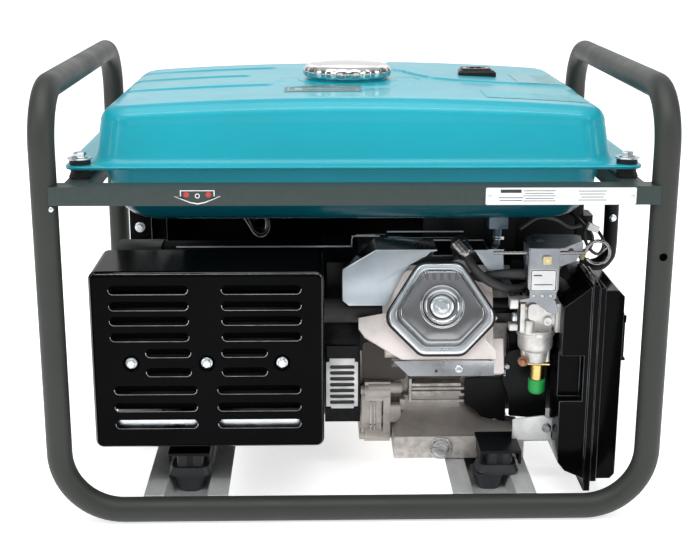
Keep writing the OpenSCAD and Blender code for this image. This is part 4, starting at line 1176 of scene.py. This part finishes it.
# control bracket: folded sheet, blank label, clip
P = Part().use(DULLZ)
FR = facing_front(-189.5)
P.at(FR)
P.plate([round_poly([(197.5, 299.6), (231, 299.6), (231, 252), (229, 248), (229, 240), (198.5, 240),
                     (198.5, 250),
                     (196, 254)], [1.5, 1.5, 4, 3, 2.5, 2.5, 3, 4])], 0.0, 1.5, 0.35)
P.at(ax(0, 0, 298.5, (0, 0, 1), (1, 0, 0)))
P.plate([round_poly([(196, -190.6), (234, -190.6), (262, -158), (266, -126), (212, -122), (200, -138)],
                    [2, 3, 8, 8, 8, 10])], 0, 1.5, 0.35)
P.at(ax(214, -153, 300.0, (0, 0, 1))).ring(2.6, 5.6, -0.2, 0.7, 28, 0.25)
P.use(INK_AND_SHADE).cyl(2.6, -0.1, 0.25, 20)
P.use(DULLZ)
LF = Matrix(((0, 0, -1, 197.5), (1, 0, 0, 0), (0, 1, 0, 0), (0, 0, 0, 1)))    # a drawn point is y, z
P.at(LF)
P.plate([round_poly([(-190, 299), (-150, 299), (-152, 284), (-168, 262), (-190, 254)], [1, 3, 6, 10, 2]),
         rrect(7, 18, 3.2, 5, -181, 286)[::-1]], 0, 1.5, 0.3)
P.at(facing_front(-156))
P.plate([round_poly([(231, 299), (264, 299), (264, 288), (256, 276), (240, 270), (231, 270)],
                    [2, 3, 6, 5, 4, 2]),
         circle(3.4, 20, 250, 288)[::-1]], 0, 1.5, 0.3)
P.use(STEEL)
for x in (204, 213.5, 223):
    P.at(ax(x, -191.0, 244.5, (0, -1, 0))).lathe([(0, 0.9), (1.2, 0.8), (2.2, 0.0), (2.2, -0.4),
                                                  (0, -0.4)], 16)
P.use(WHITE).at(FR)
P.plate([rrect(30, 26, 2.2, 5, 213.5, 262.4)], 1.5, 1.75, 0.06)
P.use(INK_AND_SHADE)
P.plate([rrect(29, 25, 2.0, 5, 213.5, 262.4), rrect(27, 23, 1.4, 5, 213.5, 262.4)[::-1]], 1.76, 1.86, 0.03)
P.plate([rrect(10, 1.5, 0.6, 3, 206.8, 268.4)], 1.76, 1.86, 0.03)
P.plate([rrect(21, 1.1, 0.5, 3, 213.5, 257.6)], 1.76, 1.86, 0.03)
P.use(YELLOW)
P.plate([rrect(9.4, 9.4, 1.6, 4, 216.4, 286.4)], 1.5, 4.4, 0.5)
P.use(BRASS)
P.plate([rrect(4.0, 4.4, 0.6, 3, 216.8, 285.6)], 4.3, 4.8, 0.15)
P.done("choke_bracket", slot=SLOT["control_bracket"], replaces="control_bracket", angle=30)

# carburettor dress-up: joint plate and nuts, mixture screw, cover sheet
P = Part().use(ZINC)
P.at(ax(186.2, -179, 216, (-1, 0, 0), (0, 1, 0))).bolt(5.4, 5.0, flange=6.6)
P.at(ax(186.2, -139, 216, (-1, 0, 0), (0, 1, 0))).bolt(5.4, 5.0, flange=6.6)
P.use(CARB).at()
P.prism(round_poly([(-186, 203), (-186, 209.5), (-172, 209.5), (-172, 203)], 2), 179, 189)
P.at(ax(0, 0, 0, (1, 0, 0), (0, 1, 0)))
P.prism(round_poly([(-186, 227), (-170, 227), (-170, 239), (-186, 239)], 2.5), 178, 187)
P.prism(round_poly([(-186, 201), (-170, 201), (-170, 209), (-186, 209)], 2.5), 178, 187)
P.at(ax(213, -176, 222, (0, -1, 0)))
P.prism(rrect(30, 22, 6, 6, 0, 0), 0, 5.5, [(x * 0.9, y * 0.9) for x, y in rrect(30, 22, 6, 6, 0, 0)])
P.at(ax(222, -181.0, 212, (0, -1, 0)))
P.lathe([(0, 3.4), (1.6, 3.4), (2.2, 4.6), (4.6, 4.6), (5.2, 4.0), (5.4, 0), (0, 0)], 28)
P.use(DULLZ).at(ax(223, -181, 226, (0, -1, 0))).bolt(3.0, 2.6, flange=3.8)
P.use(YELLOW).at(ax(196, -180.2, 227, (0, -1, 0))).cyl(2.3, 0, 1.6, 20, 0.4)
P.use(DULLZ).at(facing_front(-186.6))
P.plate([round_poly([(188, 239), (201, 241.5), (228, 239), (233, 226), (229, 220), (217, 227), (205, 236),
                     (188, 236.6)],
                    [1, 3, 3, 4, 3, 4, 6, 1])], 0, 1.2, 0.25)
P.done("carburettor_fittings", slot="bright_alloy", bevel=0.3, segs=2, angle=35)

# stay between the engine and the air box, and the dark side plate behind it
P = Part().use(GALV).at(facing_front(-163))
P.plate([round_poly([(189, 85), (226, 89.5), (235.4, 84), (235.4, 58), (228, 57.4), (189, 57)],
                    [1.5, 3, 2, 2, 3, 1.5])],
        0, 2, 0.4)
P.at(ax(0, 0, 57, (0, 0, 1), (1, 0, 0)))
P.plate([round_poly([(189, -165), (235, -165), (235, -140), (189, -134)], 2)], 0.6, 2.0, 0.3)
P.use(DULLZ).at(ax(229.5, -165.2, 74, (0, -1, 0))).bolt(4.4, 4.0, flange=5.6, dome=0.8)
P.done("airbox_stay", slot="zinc", bevel=0.0, angle=30)
P = Part().use(BLACK).at(facing_front(-124))
P.plate([round_poly([(186, 156), (183.5, 148), (181, 120), (187, 104), (190, 92), (190, 74), (235, 70),
                     (235, 154),
                     (200, 160)], [6, 4, 16, 12, 8, 3, 3, 6, 12])], 0, 2, 0.5)
P.use(DULLZ)
P.at(ax(186, -126.5, 138, (0, -1, 0))).bolt(3.6, 3.2, flange=4.4)
for i in range(4):
    P.at(ax(183.5, -128, 126.5 + 2.2 * i, (0, 0, 1))).cyl(2.6, 0, 1.5, 18, 0.3)
P.done("carburettor_back_plate", slot="black_steel", angle=30)

# cooling-air grille of the generator end
P = Part().use(GALV).at(facing_front(-115.6))
gx0, gx1 = -31.0, 7.5
loops = [round_poly([(gx0 + 4, 145.5), (gx1 - 4, 145.5), (gx1 - 4, 141), (gx1, 141), (gx1, 84),
                     (gx1 - 5, 84), (gx1 - 5, 81.5),
                     (gx0 + 6, 81.5), (gx0 + 6, 84), (gx0, 84), (gx0, 141), (gx0 + 4, 141)], 0.8, 3)]
for i in range(7):
    loops.append(pill(gx0 + 4.4, gx1 - 4.2, 89.6 + 7.5 * i, 4.5, 8)[::-1])
P.plate(loops, 0, 1.2, 0.3)
# painted shade: a black sheet just behind the slots
P.use(INK_AND_SHADE).box(gx0 + 2, gx1 - 2, 83.6, 140, -0.45, -0.2)
P.use(BLACK).box(-30, 7, 145.8, 161, -8, 0.4).box(-32.4, 10.4, 64, 81.2, -12, 0.2)
P.done("cooling_air_grille", slot="zinc", angle=30)

# side cover of the crankcase: bosses, ribs and bolts
P = Part().use(CAST)
for cy, cz, r, x0, x1 in ((-110, 106, 7.0, 20, 63), (-107, 45, 6.5, 18, 50), (-104, 66, 4.0, 24, 49)):
    P.at(ax(x0, cy, cz, (1, 0, 0), (0, 1, 0)))
    L_ = x1 - x0
    P.lathe([(0, 0), (r - 0.8, 0), (r, 0.8), (r, L_ - r * 0.6), (r * 0.86, L_ - r * 0.25), (r * 0.5, L_),
             (0, L_ + 0.2)], 36)
P.at(ax(0, 0, 0, (1, 0, 0), (0, 1, 0)))
side = round_poly([(-100, 36), (-113, 38), (-115, 50), (-112.5, 60), (-114.5, 74), (-114.5, 99),
                   (-100, 99)],
                  [0.5, 4, 4, 6, 6, 3, 0.5], 5)
P.prism(side, 38.5, 47.2)
P.prism([(y + 2.0, z) for y, z in side], 30.0, 36.6)
P.prism([(y + 3.6, z * 0.94 + 4) for y, z in side], 12.0, 30.0)
P.prism(round_poly([(-100, 60), (-112, 60), (-113, 84), (-100, 84)], 3), 47.0, 60.0)
P.prism(round_poly([(-100, 64), (-109, 64), (-109, 72), (-100, 72)], 1.5), 59.0, 70.0)
P.prism(round_poly([(-100, 76), (-109, 76), (-109, 90), (-100, 90)], 1.5), 59.0, 66.0)
P.at()
for z0, z1 in ((46, 58), (60, 88)):
    P.box(22.5, 24.3, -113.6, -104, z0, z1)
    P.box(27.5, 29.0, -113.6, -104, z0, z1)
P.use(ZINC)
for z in (106, 45):
    P.at(ax(20.4 if z > 60 else 18.4, -110 if z > 60 else -107, z, (-1, 0, 0),
            (0, 1, 0))).bolt(5.0, 4.4, flange=6.0)
P.done("side_cover_bosses", slot=SLOT["crankcase_cover"], bevel=0.6, segs=3, angle=35)

# front of the crankcase: short ribs over a concave face that flares into the foot
P = Part().use(CAST)
rows = []
for k in range(19):
    t = k / 18
    z = 92.5 - 35.3 * t
    fl = t ** 3.4
    x0, x1 = 62 - 11 * fl, 138 + 67 * t ** 4.2
    y = -101 - 46 * fl
    rows.append([(x0, -86, z), (x0, y + 3, z), (x0 + 3, y, z), ((x0 + x1) / 2, y - 1.5 * (1 - t), z),
                 (x1 - 6, y, z),
                 (x1, y + 5, z), (x1, -86, z)])
P.loft(rows)
for z0, z1 in ((95, 99.0), (105, 109.0)):
    P.box(72, 98, -106, -90, z0, z1)
    P.box(98, 134, -104.2, -90, z0 - 0.6, z1 - 0.4)
P.box(70, 73.4, -108, -90, 88, 116)
P.use(CASTD).box(73.4, 134, -99.5, -88.5, 113, 121)
P.box(73.4, 134, -95, -88.5, 99.0, 104.6)
P.use(CAST)
P.prism(round_poly([(50.2, -149.7), (205.8, -149.7), (205.8, -100), (50.2, -100)], 3), 56.4, 57.6)
P.use(CASTD)
P.at(facing_front(-104.5))
P.plate([round_poly([(12, 168), (52, 146), (66, 140), (66, 116), (48, 112), (14, 116)],
                    [6, 10, 3, 3, 5, 6])], 0, 2.5, 0.8)
P.done("crankcase_front", slot=SLOT["crankcase"], bevel=0.9, segs=3, angle=35)

# screws of the lower baffle
P = Part().use(ZINC)
P.at(on_bore(20, -71.0, 184.1))
P.lathe([(0, 1.9), (0.9, 1.9), (1.2, 2.4), (3.4, 2.2), (4.6, 1.2), (5.0, 0), (0, 0)], 28)
P.use(INK_AND_SHADE).at(on_bore(-6, -73.5, 184.05)).cyl(1.7, 0, 0.12, 18)
P.done("baffle_screw", slot="zinc", angle=35)

# ------------------------------------------------------------------ mounts
P = Part().use(DARKB)
for sy in (-1, 1):
    for cx, rx in ((-190, -190), (159, 169)):
        P.at(ax(rx, sy * 180, 0, (0, 0, 1)))
        P.prism(rrect(51, 40, 12, 8), 31, 40.4, rrect(44, 36, 12, 8))
        P.prism(rrect(46, 38, 12, 8), 28.6, 31.2, rrect(51, 40, 12, 8))
        P.at(ax(cx, sy * 180, 0, (0, 0, 1)))
        P.prism(rrect(24, 34, 8, 8), 10.7, 29, rrect(40, 38, 12, 8))
P.done("mount_cups", slot="black_steel", replaces="mount_feet", bevel=0.7, segs=3)
P = Part().use(DARKB)
for x in (-190, 171):
    for sy in (-1, 1):
        P.at(ax(x, sy * 180, 0, (0, 0, 1)))
        P.prism(rrect(30, 27, 4, 5), 39.4, 56.9)
P.done("mount_blocks", slot="rubber", bevel=0.8, segs=3)

# ------------------------------------------------------------------ rail furniture
RL = facing_front(-262.85)
P = Part().use(SILVER_AND_HIGHLIGHT).at(RL)
P.plate([rrect(159, 18.4, 1.6, 4, 215, 374.6)], 0.0, 0.5, 0.12)
P.use(INK_AND_SHADE)
for k in range(5):
    P.plate([rrect(34 - 4 * (k % 2), 0.7, 0.3, 2, 192, 380.4 - 2.7 * k)], 0.5, 0.56, 0.02)
for k in range(4):
    P.plate([rrect(30 - 3 * (k % 3), 0.7, 0.3, 2, 248, 380.0 - 3.2 * k)], 0.5, 0.56, 0.02)
P.plate([rrect(22, 3.6, 0.6, 2, 162, 380.0)], 0.5, 0.56, 0.02)
P.plate([rrect(26, 0.8, 0.3, 2, 162, 373.0)], 0.5, 0.56, 0.02)
P.plate([rrect(24, 0.8, 0.3, 2, 162, 370.0)], 0.5, 0.56, 0.02)
P.use(ZINC)
for x in (139.5, 290.5):
    P.at(RL @ Matrix.Translation((x, 374.6, 0.45))).lathe([(0, 1.1), (1.2, 1.0), (2.2, 0.4), (2.4, 0),
                                                           (0, 0)], 20)
P.done("rating_plate_blank", slot="zinc", angle=40)
P = Part().use(WHITE).at(RL)
arrow = [(-184, 381.6), (-148, 381.6), (-148, 375.2), (-141.6, 375.2), (-158, 368.2), (-166, 366.6),
         (-174, 368.2),
         (-190.4, 375.2), (-184, 375.2)]
inner = [(-166 + (x + 166) * 0.945, 375.4 + (z - 375.4) * 0.86) for x, z in arrow]
P.plate([arrow, inner[::-1]], 0, 0.14, 0.03)
P.use(RED)
for x in (-177.5, -154.5):
    P.plate([circle(2.9, 20, x, 376.9)], 0, 0.16, 0.03)
P.use(WHITE).plate([circle(2.6, 20, -166, 375.6), circle(1.7, 20, -166, 375.6)[::-1]], 0, 0.16, 0.03)
P.done("rail_marking_plain", slot="zinc", angle=40)
P = Part().use(ZINC).at(basis((-318.2, -260.9, 361), (0.62, -0.78, 0)))
P.lathe([(0, 1.9), (1.4, 1.8), (2.9, 1.0), (3.4, 0), (0, -0.6)], 24)
P.done("leg_screw", slot="zinc", angle=40)

# ------------------------------------------------------------------ panel back and wiring
# the cable loop is in the painted-highlight copy of the black enamel
P = Part().use(BLACK_HIGHLIGHT)
P.sweep(smooth_path([(-150, 192, 262), (-141, 194, 250), (-134, 193, 239), (-127, 190, 229),
                     (-119, 189, 226),
                     (-112, 191, 232), (-111, 194, 244), (-114, 197, 256)], 3), 5.0, 18)
P.use(RUBBER).at(ax(-122, 198.6, 240, (0, -1, 0))).ring(7, 13, 0, 3, 36, 0.8)
# painted highlight: thin bright strips along the lower edge of the panel and its step
P.use(SILVER_AND_HIGHLIGHT).at().box(-236, 8, 197.4, 199.2, 206.4, 208.2)
P.box(8, 48, 197.4, 199.2, 219.6, 221.2)
P.use(BLACK).box(8, 48, 198.6, 200, 206, 220)
P.done("panel_back_loom", slot="rubber", angle=40)
P = Part().use(GLOSS)
P.box(-298, -268, 150, 152.5, 196, 276)
P.box(-298, -226, 192, 194, 196, 290)
P.box(-267, -250, 158, 161, 200, 276)
P.box(-268.5, -267, 150, 161, 200, 276)
P.box(-249, -238, 168, 186, 206, 280)
P.use(ZINC).at(ax(-284, 149.8, 246, (0, -1, 0))).bolt(5, 4, washer=7)
# painted highlight: thin bright strips along two edges of the plates
P.use(LIP_HIGHLIGHT).at().box(-249.6, -248.8, 166.5, 168, 208, 280).box(-268.5, -267.8, 148.8, 150, 202, 276)
P.done("left_stay_plates", slot="black_steel", bevel=0.5, segs=2)
# dark cover of the wiring beside the shroud, and a black sheet over the right side of the crankcase as
# painted shade of its deep shadow
P = Part().use(BLACK)
P.prism(round_poly([(196, -24), (292, -24), (292, 30), (196, 30)], 6), 262, 322)
# painted highlight: a bright strip along the cover's left edge
P.use(BLACK_HIGHLIGHT).box(196.5, 197.5, -25, -24, 264, 320)
# painted shade: a black sheet over the right side of the crankcase
P.use(BLACK).at(facing_front(-104))
P.plate([round_poly([(138, 116), (189, 116), (189, 50), (182, 48), (170, 54), (152, 74), (142, 80),
                     (138, 84)],
                    [2, 2, 2, 4, 12, 12, 6, 3])], 0, 3, 0.6)
P.use(DULLZ).at(ax(176, -107, 58, (0, -1, 0))).bolt(4.2, 4.0, flange=5.4)
# painted shade: this black sheet above the shroud fills the dark gap under the tank
P.use(BLACK).at().box(88, 200, -61, -59, 246, 322)
P.prism(round_poly([(280, -26), (303, -26), (303, 10), (280, 10)], 4), 268, 300)
P.box(-30, 20, -106, -104, 152, 262)
# painted highlight: thin zinc strips drawn as bright edge lines
P.use(SHROUD_ZINC_AND_HIGHLIGHT).box(43.8, 137, -62, -61, 288.0, 289.4)
P.box(6, 29.5, -62, -61, 283.6, 285.0).box(-212, 1.5, -62, -61, 269.6, 271.4)
P.box(0.2, 1.6, -62, -61, 270.2, 280.0)
P.sweep([(0.9, -61.5, 279), (2.4, -61.5, 282.8), (6.4, -61.5, 284.3)], 0.7, 8)
P.done("wiring_cover", slot="black_steel", bevel=0.5, segs=2)
# post from the side rail down to the starter housing
P = Part().use(BLACK)
P.sweep(smooth_path([(324, -30, 366), (324, -30, 330), (324, -30, 262), (321, -30, 248), (312, -30, 239),
                     (299, -30, 236),
                     (291, -30, 236)], 3), 9.0, 28)
P.at(ax(290.6, -30, 236, (1, 0, 0))).prism(rrect(34, 26, 6, 5), 0, 3.5)
P.use(ZINC).at(ax(324, -39.4, 300, (0, -1, 0))).bolt(3.4, 3.0, flange=4.4)
P.done("side_post", slot="black_steel", bevel=0.4, segs=2)
P = Part().use(HOSE)
P.sweep(smooth_path([(226, 196, 330), (248, 150, 318), (264, 80, 306), (276, -20, 302), (282, -70, 298),
                     (289, -86, 288),
                     (286, -92, 276), (277, -96, 272)], 4), 2.6, 14)
P.sweep(smooth_path([(226, 196, 322), (256, 120, 300), (282, 20, 296), (300, -50, 290), (305, -80, 278),
                     (296, -94, 268),
                     (284, -96, 276), (280, -84, 290), (288, -70, 300), (300, -60, 292)], 4), 2.0, 14)
P.sweep(smooth_path([(200, -96, 300), (222, -90, 312), (244, -84, 308), (262, -80, 298), (278, -78, 300)],
                    4), 2.2, 14)
P.use(WHITE).at(basis((291, -80, 297), (0.8, 0.1, -0.3))).box(-3.2, 3.2, -4, 4, -7, 7)
P.use(ZINC).at(basis((306, -80, 270), (0.6, -0.3, -0.6))).ring(2.2, 4.6, 0, 1.2, 24, 0.2)
P.use(YELLOW).at(basis((276, -98, 268), (0.3, -0.2, 1))).box(-2.6, 2.6, -3.4, 3.4, -5, 5)
P.done("wiring", slot="rubber", angle=40)

# ------------------------------------------------------------------ control panel, far side
PF = Matrix(((-1, 0, 0, 0), (0, 0, 1, 242.1), (0, 1, 0, 0), (0, 0, 0, 1)))    # a drawn point is -x, z
P = Part().use(SILVER_AND_HIGHLIGHT).at(PF)
for x0, x1, z0, z1 in ((-214, -98, 336, 352), (-84, 10, 336, 352), (16, 60, 318, 330), (80, 142, 318, 330)):
    P.plate([rrect(x1 - x0, z1 - z0, 1.6, 4, -(x0 + x1) / 2, (z0 + z1) / 2)], 0, 0.4, 0.1)
P.use(ZINC)
for x in (-230, 213):
    for z in (216, 355):
        P.at(ax(x, 242, z, (0, 1, 0))).lathe([(0, 1.5), (0.9, 1.5), (1.2, 2.3), (3.6, 2.0), (4.6, 1.0),
                                              (4.8, 0), (0, 0)], 26)
for x in (-150, -50):
    for dx, dz in ((-26, 29), (26, 29), (-26, -29), (26, -29)):
        P.at(ax(x + dx, 243.9, 270 + dz, (0, 1, 0))).lathe([(0, 0.9), (0.7, 0.9), (1.0, 1.6), (2.6, 1.4),
                                                            (3.2, 0), (0, 0)], 20)
P.done("panel_plates_blank", slot="zinc", angle=40)
P = Part().use(DIAL).at(ax(110, 0, 270, (0, 1, 0)))
P.lathe([(0, 246.1), (20, 246.1), (20, 246.5), (0, 246.5)], 48)
P.use(INK_AND_SHADE)
for k in range(11):
    a = math.radians(150 - 12 * k)
    P.at(ax(110 + 15.5 * math.cos(a), 246.5, 266 + 15.5 * math.sin(a), (0, 1, 0),
            (math.cos(a), 0, math.sin(a))))
    P.box(-2.0 if k % 5 == 0 else -1.0, 1.4, -0.3, 0.3, 0, 0.12)
P.use(RED).at(ax(110, 246.6, 264, (0, 1, 0), (0.34, 0, 0.94))).box(-2, 15, -0.35, 0.35, 0, 0.3)
P.done("voltmeter_dial", slot="black_plastic", angle=40)

# bolts of the generator end cover and the recoil cover
P = Part().use(ZINC)
for a in (45, 135, 225, 315):
    c, s = math.cos(math.radians(a)), math.sin(math.radians(a))
    P.at(ax(-289.6, 98 * c, 150 + 98 * s, (-1, 0, 0), (0, 1, 0))).bolt(5.2, 4.4, flange=7.0)
P.done("end_cover_bolts", slot="zinc", bevel=0.25, segs=2)
P = Part().use(ZINC)
for a in (30, 150, 270):
    c, s = math.cos(math.radians(a)), math.sin(math.radians(a))
    P.at(ax(266, 101 * c, 150 + 101 * s, (1, 0, 0), (0, 1, 0))).bolt(5.2, 4.4, flange=7.0)
P.done("recoil_cover_bolts", slot="zinc", bevel=0.25, segs=2)
